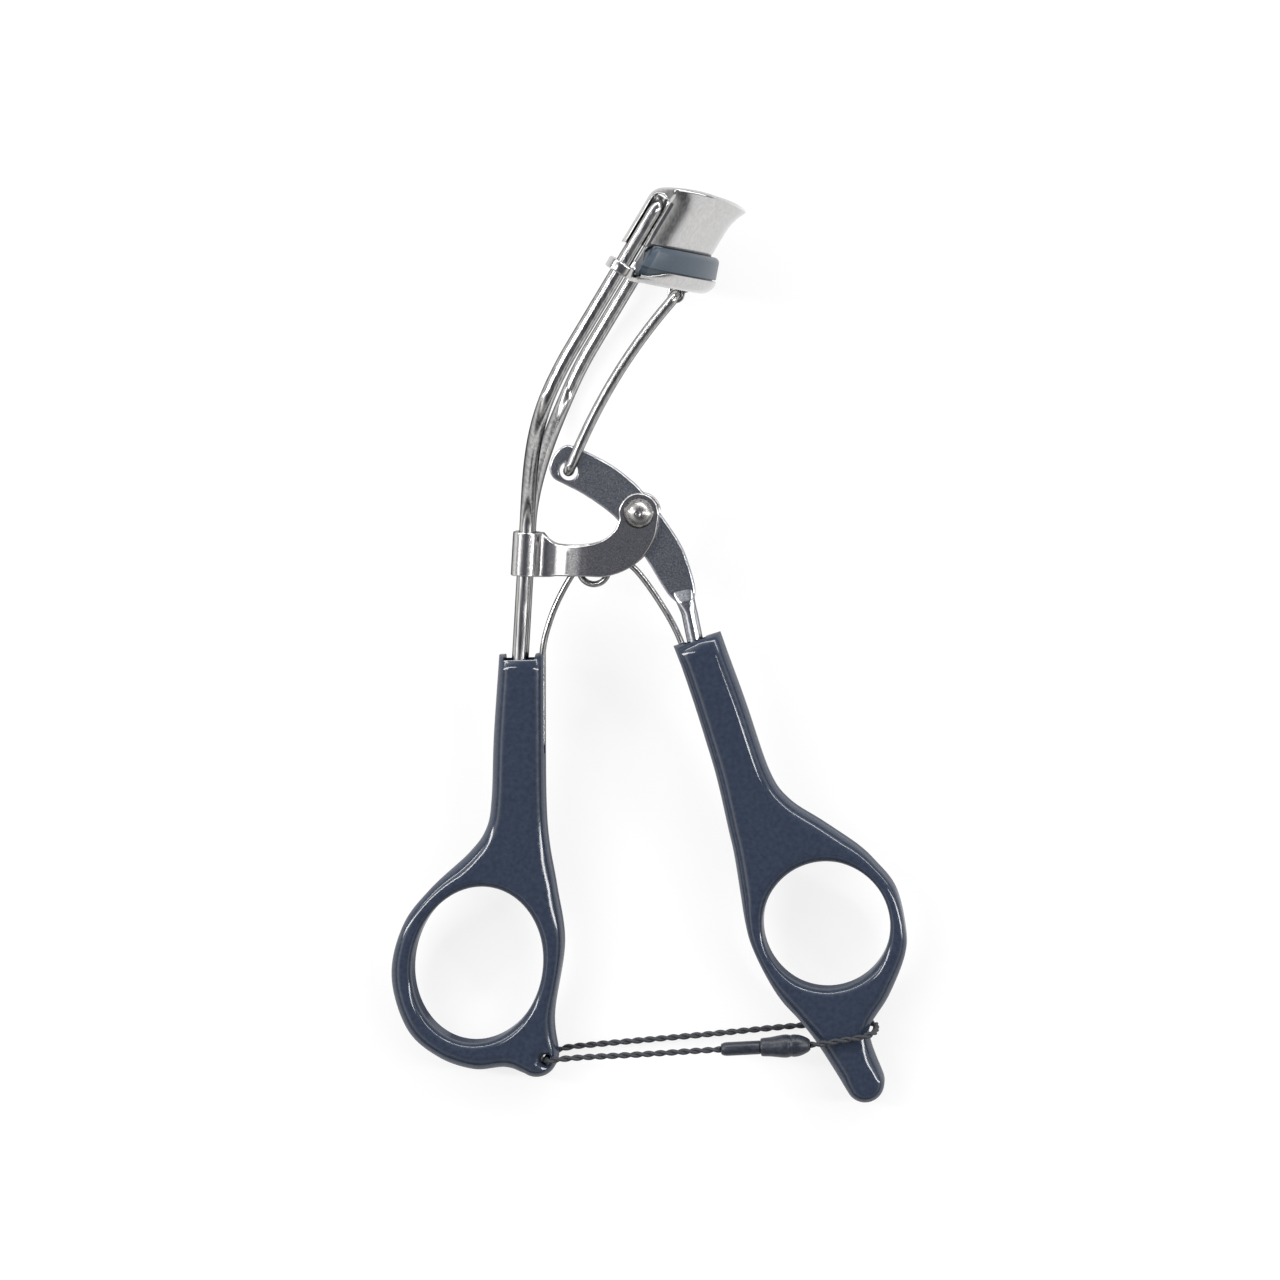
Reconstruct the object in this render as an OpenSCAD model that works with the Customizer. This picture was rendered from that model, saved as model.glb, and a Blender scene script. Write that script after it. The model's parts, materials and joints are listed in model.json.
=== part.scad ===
// Eyelash curler with plastic scissor handles, lying on a table with its jaws closed.
// Every piece is drawn in the tool plane: origin on the pivot, x across the handles,
// y towards the jaws and z along the pivot. laid_down() then rests the tool on the table.

/* [Frame wires] */
// Diameter of the two frame wires
wire_d = 2.4; // [2:0.1:2.6]
// Distance between the wires at the jaws, centre to centre
wire_span = 35; // [33:0.5:36]
// Distance between the wires in the bracket and the handle
shank_gap = 3; // [2.8:0.1:3.2]
// Lean of the wires below the bend, from the y axis
shank_lean = 3.4; // [3:0.1:4]
// Lean of the wires along the jaws, from the y axis
head_lean = 31.2; // [30:0.2:32]
// Radius of the bend between the two leans
bend_r = 62; // [56:1:64]

/* [Jaws] */
// Radius of the arch at the outer face of the upper jaw
arch_r = 20.2; // [20:0.1:20.4]
// Height of the upper jaw along the wires
plate_h = 9.6; // [8:0.1:10]
// Thickness of the jaw sheet
sheet_t = 0.9; // [0.8:0.05:1]
// How far the upper edge of the upper jaw flares out
flare = 1.4; // [0.8:0.1:1.6]
// Height of the lash pad
pad_h = 4.9; // [4.7:0.1:5.1]
// Slope of the jaws' edges, up from the wires to the middle of the arch
jaw_slope = 20; // [18:0.5:22]

/* [Lever and link] */
// Thickness of the flattened lever arm
lever_t = 1.3; // [1.2:0.05:1.4]
// Diameter of the lever's round tang
tang_d = 2.6; // [2.4:0.1:2.8]
// Diameter of the push link wire
link_d = 1.7; // [1.5:0.1:1.8]
// How far the push link bows away from a straight line
link_bow = 1.3; // [1:0.1:2]
// Diameter of the hole that the link hooks into
link_hole_d = 3; // [2.9:0.05:3.2]

/* [Pivot] */
// Diameter of the rivet's shank
rivet_d = 3; // [2.8:0.1:3.2]
// Diameter of the rivet's domed heads
rivet_head_d = 4.9; // [4.5:0.1:5.2]
// Thickness of the bracket strap
strap_t = 0.9; // [0.8:0.05:1]
// Distance from the middle plane to the inner face of each bracket arm
arm_inside = 1.75; // [1.7:0.05:1.8]

/* [Return spring] */
// Diameter of the spring wire
spring_d = 1; // [0.9:0.05:1]
// Mean diameter of the coil
coil_d = 4.7; // [4.5:0.1:5]
// Rise of the coil in one turn
coil_pitch = 1.52; // [1.5:0.01:1.6]

/* [Handles] */
// Thickness of both plastic handles
handle_t = 7; // [6.8:0.1:7.4]
// Radius of the rounded handle edges
edge_r = 1.6; // [1.2:0.1:1.7]
// Radius of the thumb ring's bore
thumb_r = 10.2; // [9.5:0.1:10.4]
// Half width of the finger ring's oval hole
finger_w = 10.5; // [10:0.1:10.8]
// Half height of the finger ring's oval hole
finger_h = 12.7; // [12:0.1:13]

/* [Tie cord] */
// Diameter of the tie cord
cord_d = 1.1; // [1:0.05:1.2]
// Diameter of the cord lock's socket
lock_d = 3.7; // [3.4:0.1:3.8]

/* [Table] */
// Angle between the tool plane and the table
rest_tilt = 7.6; // [7.3:0.1:7.9]

/* [Hidden] */
$fn = 96;
past = 1;
fit_gap = 0.05;
run_gap = 0.08;

// Vectors, curves and outlines

function unit(v) = v / norm(v);
function turned(p, a) = [p.x * cos(a) - p.y * sin(a), p.x * sin(a) + p.y * cos(a)];
function arc(c, r, a0, a1, n) = [
    for (i = [0 : n]) let (a = a0 + (a1 - a0) * i / n) c + r * [cos(a), sin(a)]
];
function smooth(t) = let (s = min(max(t, 0), 1)) s * s * (3 - 2 * s);

// One span of a Catmull-Rom curve between p1 and p2.
function span_point(p0, p1, p2, p3, t) = 0.5 * (
    2 * p1 + (p2 - p0) * t
    + (2 * p0 - 5 * p1 + 4 * p2 - p3) * t * t
    + (3 * p1 - p0 - 3 * p2 + p3) * t * t * t
);
// A smooth open curve through the points, with n steps in each span.
function curve(p, n) = let (last = len(p) - 1) concat(
    [
        for (i = [0 : last - 1], k = [0 : n - 1])
            span_point(p[max(i - 1, 0)], p[i], p[i + 1], p[min(i + 2, last)], k / n)
    ],
    [p[last]]
);
// A smooth closed curve through the points.
function ring_curve(p, n) = let (m = len(p)) [
    for (i = [0 : m - 1], k = [0 : n - 1])
        span_point(p[(i + m - 1) % m], p[i], p[(i + 1) % m], p[(i + 2) % m], k / n)
];
function ellipse(c, w, h, lean, n) = [
    for (i = [0 : n - 1]) c + turned([w * cos(360 * i / n), h * sin(360 * i / n)], lean)
];

// The outward step at corner b of a counterclockwise outline, for an offset of 1.
function mitre(a, b, c) = let (
    e = unit(b - a),
    f = unit(c - b),
    n = [e.y + f.y, -e.x - f.x]
) 2 * n / (n * n);
function grown(p, d) = let (m = len(p)) [
    for (i = [0 : m - 1]) p[i] + d * mitre(p[(i + m - 1) % m], p[i], p[(i + 1) % m])
];
// A strip of thickness t along an open line of points.
function strip(p, t) = let (
    last = len(p) - 1,
    side = [
        for (i = [0 : last]) let (
            a = i == 0 ? 2 * p[0] - p[1] : p[i - 1],
            c = i == last ? 2 * p[last] - p[last - 1] : p[i + 1]
        ) mitre(a, p[i], c)
    ]
) concat(
    [for (i = [0 : last]) p[i] + t / 2 * side[i]],
    [for (i = [last : -1 : 0]) p[i] - t / 2 * side[i]]
);

// Solids from stacked or swept rings

module skin(rings) {
    n = len(rings[0]);
    last = len(rings) - 1;
    sides = [
        for (i = [0 : last - 1], k = [0 : n - 1])
            let (a = i * n + k, b = i * n + (k + 1) % n)
            each [[a, a + n, b + n], [a, b + n, b]]
    ];
    first_cap = [for (k = [0 : n - 1]) k];
    last_cap = [for (k = [n - 1 : -1 : 0]) last * n + k];
    polyhedron([for (ring = rings) each ring], concat(sides, [first_cap, last_cap]));
}

function tangent(p, i) = unit(p[min(i + 1, len(p) - 1)] - p[max(i - 1, 0)]);
// A ring round point c, across direction t. The reference vector is never along t.
function ring(c, t, r, sides, reference) = let (
    a = unit(cross(t, reference)),
    b = cross(t, a)
) [for (k = [0 : sides - 1]) c + r * (cos(360 * k / sides) * a + sin(360 * k / sides) * b)];
function tube_rings(p, d, sides, reference) = [
    for (i = [0 : len(p) - 1]) ring(p[i], tangent(p, i), d / 2, sides, reference)
];
module tube(p, d, sides, reference) skin(tube_rings(p, d, sides, reference));
// The same tube with a domed end.
module domed_tube(p, d, sides, reference) {
    last = len(p) - 1;
    t = tangent(p, last);
    dome = [
        for (a = [20 : 20 : 80])
            ring(p[last] + d / 2 * sin(a) * t, t, d / 2 * cos(a), sides, reference)
    ];
    skin(concat(tube_rings(p, d, sides, reference), dome));
}

// A closed band whose section has the offsets [out, up] at every corner of an outline.
module rim(outline, section) {
    m = len(outline);
    n = len(section);
    points = [
        for (i = [0 : m - 1])
            let (out = mitre(outline[(i + m - 1) % m], outline[i], outline[(i + 1) % m]))
            for (q = section) [outline[i].x + q.x * out.x, outline[i].y + q.x * out.y, q.y]
    ];
    faces = [
        for (i = [0 : m - 1], k = [0 : n - 1])
            let (next = (i + 1) % m, kk = (k + 1) % n)
            each [
                [i * n + k, next * n + k, next * n + kk],
                [i * n + k, next * n + kk, i * n + kk]
            ]
    ];
    polyhedron(points, faces);
}
// A plate over an outline, with both edges rounded.
module rounded_plate(outline, thickness, r) difference() {
    linear_extrude(thickness, center = true) polygon(outline);
    for (side = [0, 1]) mirror([0, 0, side]) rim(outline, concat(
        [[past, thickness / 2 - r]],
        [for (a = [0, 30, 60, 90]) [r * (cos(a) - 1), thickness / 2 - r + r * sin(a)]],
        [[-r, thickness / 2 + past], [past, thickness / 2 + past]]
    ));
}
// A through cutter over a convex outline that opens out towards both faces.
module flared_cutter(outline, thickness, r) {
    up = concat(
        [for (a = [0, 30, 60, 90]) [r * (1 - cos(a)), thickness / 2 - r + r * sin(a)]],
        [[r, thickness / 2 + past]]
    );
    levels = concat([for (i = [len(up) - 1 : -1 : 0]) [up[i].x, -up[i].y]], up);
    skin([for (level = levels) [for (p = grown(outline, level.x)) [p.x, p.y, level.y]]]);
}

// The frame wires' route

corner = [-17.02, 13.4];
bend_turn = head_lean - shank_lean;
bend_reach = bend_r * tan(bend_turn / 2);
shank_dir = [sin(shank_lean), cos(shank_lean)];
head_dir = [sin(head_lean), cos(head_lean)];
bend_start = corner - bend_reach * shank_dir;
bend_end = corner + bend_reach * head_dir;
bend_centre = bend_start + bend_r * [shank_dir.y, -shank_dir.x];
shank_end = corner - 51.8 * shank_dir;
shank_x = corner * [shank_dir.y, -shank_dir.x];
tip = corner + 40.7 * head_dir;
spread_from = bend_start.y;
spread_to = 19.6;

function wire_z(y) = shank_gap / 2
    + (wire_span - shank_gap) / 2 * smooth((y - spread_from) / (spread_to - spread_from));
bend_steps = 24;
wire_line = concat(
    [shank_end],
    arc(bend_centre, bend_r, 180 - shank_lean, 180 - head_lean, bend_steps),
    [tip]
);
function wire_path(side) = [for (p = wire_line) [p.x, p.y, side * wire_z(p.y)]];

// The head frame: z runs up the wires and the arch's axis is at x = 0

wire_v = bend_end * [head_dir.y, -head_dir.x];
arch_v = wire_v - sqrt(arch_r * arch_r - wire_span * wire_span / 4);
plate_low = 40.25;
plate_top = plate_low + plate_h;
eyelet_z = 32.4;
wire_turn = acos((wire_v - arch_v) / arch_r);
module in_head() rotate([-90, 0, -head_lean]) translate([arch_v, 0, 0]) children();
module at_wires() for (side = [-1, 1])
    translate([wire_v - arch_v, side * wire_span / 2, 0]) children();
// A profile swept round an arch for so many degrees to each side of the middle.
module arched(half_turn) rotate([0, 0, -half_turn]) rotate_extrude(angle = 2 * half_turn) children();

// The jaw frame: its z = 0 plane holds the lower edge of the upper jaw

jaw_rise = (arch_r - (wire_v - arch_v)) / cos(jaw_slope);
jaw_r = (wire_span * wire_span / 4 + jaw_rise * jaw_rise) / (2 * jaw_rise);
jaw_turn = asin(wire_span / 2 / jaw_r);
pad_top = -0.15;
pad_low = pad_top - pad_h;
lug = [jaw_r - 4.1, -6.6];
module in_jaw() in_head() translate([arch_r, 0, plate_low]) rotate([0, -jaw_slope, 0])
    translate([-jaw_r, 0, 0]) children();
// The linkage's pivots in the tool plane

link_low = [-11.36, 6.63];
lug_v = arch_v + arch_r + (lug.x - jaw_r) * cos(jaw_slope) - lug.y * sin(jaw_slope);
lug_u = plate_low + (lug.x - jaw_r) * sin(jaw_slope) + lug.y * cos(jaw_slope);
link_high = lug_v * [head_dir.y, -head_dir.x] + lug_u * head_dir;
link_dir = unit(link_low - link_high);
link_side = [link_dir.y, -link_dir.x];

// The spring's route

coil_centre = [-7.4, -9.1];
coil_from = 149;
coil_turn = 419;
coil_steps = 10;
coil_z = coil_pitch * coil_turn / 720;
left_leg = [
    [-15.6, -37], [-15.6, -30], [-15.6, -23.4], [-15.2, -20.2], [-14.4, -17.4], [-13.5, -15],
    [-12.4, -12.7], [-11.1, -10.4]
];
right_leg = [
    [-5.2, -6.9], [-3, -7.5], [-1, -8.9], [0.8, -11], [2.7, -13.7], [4.8, -17.1],
    [6.4, -20.4], [7.5, -23.6], [8.9, -28.4], [10.2, -32.5]
];
spring_path = concat(
    [for (p = left_leg) [p.x, p.y, coil_z]],
    [
        for (i = [0 : coil_steps]) let (
            part = i / coil_steps,
            a = coil_from - coil_turn * part,
            p = coil_centre + coil_d / 2 * [cos(a), sin(a)]
        ) [p.x, p.y, coil_z * (1 - 2 * part)]
    ],
    [for (p = right_leg) [p.x, p.y, -coil_z]]
);

// The least gap of a tube to itself, between points that are more than half a turn apart.
function fine(p, n) = [
    for (i = [0 : len(p) - 2], k = [0 : n - 1]) p[i] + (p[i + 1] - p[i]) * k / n
];
function self_gap(p, d, apart) = min([
    for (i = [0 : len(p) - 1], j = [i + apart : 1 : len(p) - 1]) norm(p[i] - p[j])
]) - d;
echo(spring_gap_mm = self_gap(fine(spring_path, 4), spring_d, 20));

// The tie cord's route: from the lock's socket round the tail, back to the lug and to the plug

cord_route = [
    [27.5, -84.5, 4.4], [29.5, -84.3, 4.4], [32.3, -83.8, 4.2], [35.4, -83.3, 4.2], [36.6, -83, 3.9],
    [37.4, -82.8, 3.1], [37.7, -82.6, 1.9], [37.8, -82.4, 0], [37.7, -82.2, -1.9], [37.4, -82.1, -3.1],
    [36.6, -82, -3.9], [35.4, -82, -4.2], [31.5, -82.2, -4.2], [27, -82.5, -4.2], [20, -83.2, -4.2],
    [10, -84.3, -4.2], [0, -85.3, -4.2], [-8, -86.1, -4.1], [-11.6, -86.5, -4.1], [-13.3, -86.9, -4.1],
    [-14.4, -87.3, -3.6], [-14.9, -87.6, -2.5], [-15, -87.7, -1.3], [-15, -87.7, 1.3],
    [-14.9, -87.7, 2.5], [-14.4, -87.6, 3.6], [-13.4, -87.4, 4.2], [-11.8, -87.2, 4.2], [-8.2, -86.9, 4.2],
    [0, -86.4, 4.2], [8, -85.8, 4.2], [13.2, -85.4, 4.3]
];
lock_start = cord_route[len(cord_route) - 1];
lock_end = cord_route[0];
lock_len = norm(lock_end - lock_start);
lock_join = 6.4;
module along_lock() {
    d = lock_end - lock_start;
    translate(lock_start) rotate([0, acos(d.z / norm(d)), atan2(d.y, d.x)]) children();
}

// The handles' outlines

lug_centre = [-16.6, -87.2];
lug_round = 3.4;
finger_outline = concat(
    curve([
        [-22.5, -22.7], [-23.4, -35.6], [-23.8, -45.9], [-24.7, -50.7], [-27.5, -54.6], [-33.7, -60.4],
        [-38.1, -66.3], [-40, -74.5], [-37.5, -83.1], [-32.4, -87.6], [-26.7, -89.5], [-21.7, -89.1],
        lug_centre + lug_round * [cos(235), sin(235)]
    ], 5),
    arc(lug_centre, lug_round, 250, 350, 8),
    curve([
        lug_centre + lug_round * [cos(8), sin(8)], [-13.8, -80.2], [-12.2, -69], [-13.4, -60.1],
        [-14.6, -53.2], [-15.1, -46.7], [-15.2, -35.2], [-15.2, -22.5]
    ], 5)
);
finger_centre = [-26, -72.5];
finger_lean = -8;
cord_hole = [-15, -87.7];
thumb_centre = [29.9, -65.6];
tail_centre = [36.1, -91];
tail_round = 3.1;
thumb_outline = concat(
    [[5.4, -21.2]],
    curve([
        [6.7, -24.5], [8.6, -30.1], [10.4, -35.8], [12.3, -42.2], [14.2, -50.5], [15.2, -55],
        [16.9, -65.2], [18.5, -70.3], [22.1, -77.1], [25.5, -81], [28.6, -85],
        tail_centre + tail_round * [cos(168), sin(168)]
    ], 5),
    arc(tail_centre, tail_round, 186, 340, 10),
    curve([
        tail_centre + tail_round * [cos(4), sin(4)], [37, -84.5], [37, -81.7], [39.9, -76.9],
        [42.4, -70.5], [42.5, -66.2], [40.9, -59.8], [37.6, -55.6], [34.5, -52.7], [29.3, -49.2],
        [23.9, -45.7], [20.7, -41.2], [16.9, -30.2], [13.9, -22]
    ], 5),
    [[12.8, -18.9]]
);

// Resting on the table

function height(p, r) = p.y * sin(rest_tilt) + (p.z - r) * cos(rest_tilt);
tail_foot = [0, tail_centre.y - tail_round + edge_r, -handle_t / 2];
table_lift = 0.01 - min(concat(
    [for (p = wire_path(-1)) height(p, wire_d / 2)],
    [for (p = cord_route) height(p, cord_d / 2)],
    [height(tail_foot, 0)]
));
middle = [1.35, -20.15];
module laid_down() translate([-middle.x, -middle.y, table_lift]) rotate([rest_tilt, 0, 0]) children();

// Frame

module frame_wire(side) color("silver") laid_down() domed_tube(wire_path(side), wire_d, 18, [1, 0, 0]);
module frame_wire_near() frame_wire(1);
module frame_wire_far() frame_wire(-1);

// The upper jaw's section: straight below, flaring outwards above.
plate_reach = 5;
flare_from = plate_low + plate_h / 2;
flare_r = ((plate_top - flare_from) ^ 2 + flare ^ 2) / (2 * flare);
flare_turn = asin((plate_top - flare_from) / flare_r);
plate_line = concat(
    [[arch_r - sheet_t / 2, plate_low - plate_reach]],
    arc([arch_r - sheet_t / 2 + flare_r, flare_from], flare_r, 180, 180 - flare_turn - 6, 8)
);
// The top edge is an arc, highest towards the middle of the jaw.
crown_r = 21;
crown_centre = [arch_r + 0.6, plate_top - 20.95];
module upper_jaw() color("gainsboro") laid_down() in_head() {
    roll_r = wire_d / 2 + fit_gap + 0.75;
    roll_shift = 0.3;
    roll_low = plate_low - plate_reach;
    roll_h = plate_h + 2 * plate_reach;
    roll_side = wire_v - arch_v + roll_shift - roll_r;
    corner_r = 2.8;
    corner_x = roll_side + corner_r;
    corner_off = crown_centre.x - corner_x;
    corner_z = crown_centre.y + sqrt((crown_r - corner_r) ^ 2 - corner_off ^ 2);
    corner_end = corner_x - corner_r * corner_off / (crown_r - corner_r);
    difference() {
        intersection() {
            union() {
                arched(wire_turn) polygon(strip(plate_line, sheet_t));
                at_wires() translate([roll_shift, 0, roll_low]) cylinder(r = roll_r, h = roll_h);
            }
            translate([crown_centre.x, 0, crown_centre.y]) rotate([90, 0, 0])
                cylinder(r = crown_r, h = 2 * wire_span, center = true);
        }
        at_wires() translate([0, 0, roll_low - past])
            cylinder(d = wire_d + 2 * fit_gap, h = roll_h + 2 * past);
        // The rolled ends stay open on their outer sides, where the wire shows.
        for (side = [0, 1]) mirror([0, side, 0])
            translate([wire_v - arch_v - 2 * roll_r, wire_span / 2 + 0.5, roll_low - past])
                cube([4 * roll_r, 2 * roll_r, roll_h + 2 * past]);
        // Their upper corners are rounded into the top edge.
        difference() {
            translate([roll_side - past, -wire_span, corner_z])
                cube([corner_end - roll_side + past, 2 * wire_span, crown_r]);
            translate([corner_x, 0, corner_z]) rotate([90, 0, 0])
                cylinder(r = corner_r, h = 3 * wire_span, center = true);
        }
        // Nothing reaches below the sloped lower edge.
        translate([arch_r, 0, plate_low]) rotate([0, -jaw_slope, 0])
            translate([-wire_span, -wire_span, -wire_span]) cube([2 * wire_span, 2 * wire_span, wire_span]);
    }
}

// Lower jaw, pad and link

channel_out = jaw_r + 1.7;
channel_in = jaw_r - 2.4;
channel_low = pad_low - 0.65;
channel_wall = 0.6;
channel_round = 1.9;
lip_low = 2.4;
module lower_jaw() color("gainsboro") laid_down() {
    eyelet_h = 1.8;
    eyelet_hole_d = wire_d + 0.6;
    lug_w = 2.8;
    lug_t = 1;
    round_centre = [channel_out - channel_round, channel_low + channel_round];
    difference() {
        union() {
            in_jaw() {
                arched(jaw_turn - 0.8) polygon(concat(
                    [[channel_in, channel_low + lip_low], [channel_in, channel_low]],
                    arc(round_centre, channel_round, 270, 360, 6),
                    [[channel_out, channel_low + lip_low], [channel_out - channel_wall, channel_low + lip_low]],
                    arc(round_centre, channel_round - channel_wall, 360, 270, 6),
                    [
                        [channel_in + channel_wall, channel_low + channel_wall],
                        [channel_in + channel_wall, channel_low + lip_low]
                    ]
                ));
                translate([lug.x, 0, lug.y]) rotate([90, 0, 0]) {
                    cylinder(d = lug_w, h = lug_t, center = true);
                    translate([-lug_w / 2, 0, -lug_t / 2])
                        cube([lug_w, channel_low + channel_wall - lug.y, lug_t]);
                    translate([0, 0.5, -lug_t / 2])
                        cube([0.75 * lug_w, channel_low + channel_wall - lug.y - 0.5, lug_t]);
                }
            }
            in_head() at_wires() translate([0, 0, eyelet_z - eyelet_h / 2])
                cylinder(d = eyelet_hole_d + 1.7, h = eyelet_h);
        }
        in_head() at_wires() translate([0, 0, eyelet_z - 5 * eyelet_h])
            cylinder(d = eyelet_hole_d, h = 10 * eyelet_h);
        in_jaw() translate([lug.x, 0, lug.y]) rotate([90, 0, 0])
            cylinder(d = link_d + 2 * run_gap, h = 4 * lug_t, center = true);
    }
}

// The pad's top has a shallow groove that the upper jaw's edge closes into.
module lash_pad() color("darkslategray") laid_down() in_jaw() {
    foot_in = channel_in + channel_wall + fit_gap;
    foot_out = channel_out - channel_wall - fit_gap;
    foot_round = channel_round - channel_wall;
    head_in = channel_in + 0.4;
    head_out = channel_out - 0.1;
    shoulder = channel_low + lip_low + 0.1;
    crest = 0.35;
    groove_half = sheet_t / 2 + 0.3;
    groove_mid = jaw_r - sheet_t / 2;
    round_r = 0.9;
    pad_short = 7.5;
    arched(jaw_turn - pad_short) polygon(concat(
        [[foot_in, pad_low]],
        arc([foot_out - foot_round, pad_low + foot_round], foot_round, 270, 360, 5),
        [[foot_out, shoulder], [head_out, shoulder]],
        arc([head_out - round_r, crest - round_r], round_r, 0, 90, 6),
        [
            [groove_mid + groove_half, crest], [groove_mid + groove_half, pad_top],
            [groove_mid - groove_half, pad_top], [groove_mid - groove_half, crest]
        ],
        arc([head_in + round_r, crest - round_r], round_r, 90, 180, 6),
        [[head_in, shoulder], [foot_in, shoulder]]
    ));
}

// The link hooks into the jaw's lug and into the lever, and runs in front of both.
link_front = lever_t / 2 + 0.3 + link_d / 2;
hook_r = 1.2;
hook_steps = 4;
bow_steps = 12;
rear_rise = 3.9;
function hook(p, along) = [
    for (i = [0 : hook_steps]) let (
        a = 90 * i / hook_steps,
        q = p + hook_r * (1 - cos(a)) * along
    ) [q.x, q.y, link_front - hook_r + hook_r * sin(a)]
];
link_reach = norm(link_high - link_low) - 2 * hook_r;
link_bowed = [
    for (i = [1 : bow_steps - 1]) let (
        t = i / bow_steps,
        q = link_high + (hook_r + link_reach * t) * link_dir + 4 * t * (1 - t) * link_bow * link_side
    ) [q.x, q.y, link_front]
];
low_hook = hook(link_low, -link_dir);
link_path = concat(
    [[link_high.x, link_high.y, -link_front]],
    hook(link_high, link_dir),
    link_bowed,
    [for (i = [hook_steps : -1 : 0]) low_hook[i]],
    [
        for (i = [0 : hook_steps]) let (a = 90 * i / hook_steps)
            [link_low.x, link_low.y + hook_r * (1 - cos(a)), hook_r - link_front - hook_r * sin(a)]
    ],
    [[link_low.x, link_low.y + rear_rise, -link_front]]
);
module push_link() color("silver") laid_down() tube(link_path, link_d, 12, [link_side.x, link_side.y, 0]);

// Lever

lever_outline = ring_curve([
    [-11.4, 10.8], [-13.4, 9.6], [-14.4, 7.4], [-13.9, 5.6], [-12, 4.5], [-9.3, 3.1], [-6.1, 1],
    [-3.7, -1], [-1.5, -3.8], [1.3, -7.8], [3.6, -11.6], [5, -13.5], [6.9, -14.8], [8.4, -14.2],
    [8.8, -12], [7.7, -7.9], [6.3, -4.7], [3.5, -0.5], [0.2, 3.6], [-1.9, 5.6], [-4.8, 7.7],
    [-9, 9.9]
], 4);
tang_top = [7.55, -14.2, 0];
tang_lean = 11.5;
tang_swell = 1.9;
tang_in = 8;
module along_tang() translate(tang_top) rotate([90, 0, tang_lean]) children();
module lever_arm() color("slategray") laid_down() {
    difference() {
        linear_extrude(lever_t, center = true) polygon(lever_outline);
        cylinder(d = rivet_d + 2 * run_gap, h = 4 * lever_t, center = true);
        translate(link_low) cylinder(d = link_hole_d, h = 4 * lever_t, center = true);
    }
    // The flat bar swells into the round tang.
    hull() {
        translate([6.7, -12.4, 0]) cube([3.2, 0.2, lever_t], center = true);
        along_tang() translate([0, 0, tang_swell]) cylinder(d = tang_d, h = 0.2, $fn = 32);
    }
    along_tang() translate([0, 0, tang_swell]) cylinder(d = tang_d, h = tang_in);
}

// Pivot

// The strap's line seen along the wires, from the middle of the back round to the front arm.
pinch_z = 0.92;
arm_z = arm_inside + strap_t / 2;
roll_mid = wire_d / 2 + fit_gap + strap_t / 2;
strap_half = concat(
    [[shank_x - roll_mid, 0]],
    arc([shank_x, shank_gap / 2], roll_mid, 180, 20, 10),
    [
        [shank_x + 2.1, 1.4], [shank_x + 2.6, 1.05], [shank_x + 3.2, pinch_z], [shank_x + 3.8, pinch_z],
        [shank_x + 4.5, 1.12], [-9.9, arm_z - 0.15], [-9.2, arm_z - 0.03], [-8.4, arm_z], [4.5, arm_z]
    ]
);
strap_line = concat(
    [for (i = [len(strap_half) - 1 : -1 : 1]) [strap_half[i].x, -strap_half[i].y]],
    strap_half
);
ear_r = 3.2;
bracket_outline = concat(
    [[-22, -10.3], [-14.2, -10.3]],
    curve([
        [-13.2, -10.1], [-8.7, -10.1], [-5.6, -10.15], [-2.6, -9.3], [-0.2, -7.8], [1.3, -6.1],
        [2.6, -3.6], [ear_r * cos(-12), ear_r * sin(-12)]
    ], 4),
    arc([0, 0], ear_r, 0, 180, 16),
    curve([
        [ear_r * cos(196), ear_r * sin(196)], [-4, -2.9], [-6.2, -4.5], [-9.4, -5.2], [-13, -5],
        [-14.6, -4.2]
    ], 4),
    [[-15.6, -3.2], [-22, -3.2]]
);
module pivot_bracket() color("lightsteelblue") laid_down() difference() {
    intersection() {
        linear_extrude(12, center = true) polygon(bracket_outline);
        rotate([-90, 0, -shank_lean]) translate([0, 0, -15])
            linear_extrude(25) polygon(strip(strap_line, strap_t));
    }
    cylinder(d = rivet_d + 2 * fit_gap, h = 12, center = true);
}

module pivot_rivet() color("silver") laid_down() {
    head_z = arm_inside + strap_t + 0.02;
    head_h = 1.35;
    dome_r = (rivet_head_d ^ 2 / 4 + head_h ^ 2) / (2 * head_h);
    dome_turn = asin(rivet_head_d / 2 / dome_r);
    cylinder(d = rivet_d, h = 2 * head_z, center = true);
    for (side = [0, 1]) mirror([0, 0, side]) rotate_extrude() polygon(concat(
        [[0, head_z - 0.3], [rivet_d / 2, head_z - 0.3], [rivet_d / 2, head_z]],
        arc([0, head_z + head_h - dome_r], dome_r, 90 - dome_turn, 90, 10)
    ));
}

module pivot_washers() color("silver") laid_down() {
    washer_d = 5.2;
    inner_z = lever_t / 2 + 0.08;
    for (side = [0, 1]) mirror([0, 0, side]) translate([0, 0, inner_z]) difference() {
        cylinder(d = washer_d, h = arm_inside - inner_z - 0.02);
        translate([0, 0, -past]) cylinder(d = rivet_d + 2 * fit_gap, h = arm_inside + 2 * past);
    }
}

module return_spring() color("gray") laid_down() tube(spring_path, spring_d, 6, [0, 0, 1]);

// Handles

// A groove in a handle's inner side for one leg of the spring.
module leg_groove(from, to, z) {
    d = to - from;
    groove_w = spring_d + 0.5;
    translate([from.x, from.y, z]) rotate([0, 0, atan2(d.y, d.x)])
        translate([0, -groove_w / 2, -groove_w / 2]) cube([norm(d), 2 * groove_w, groove_w]);
}

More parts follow.
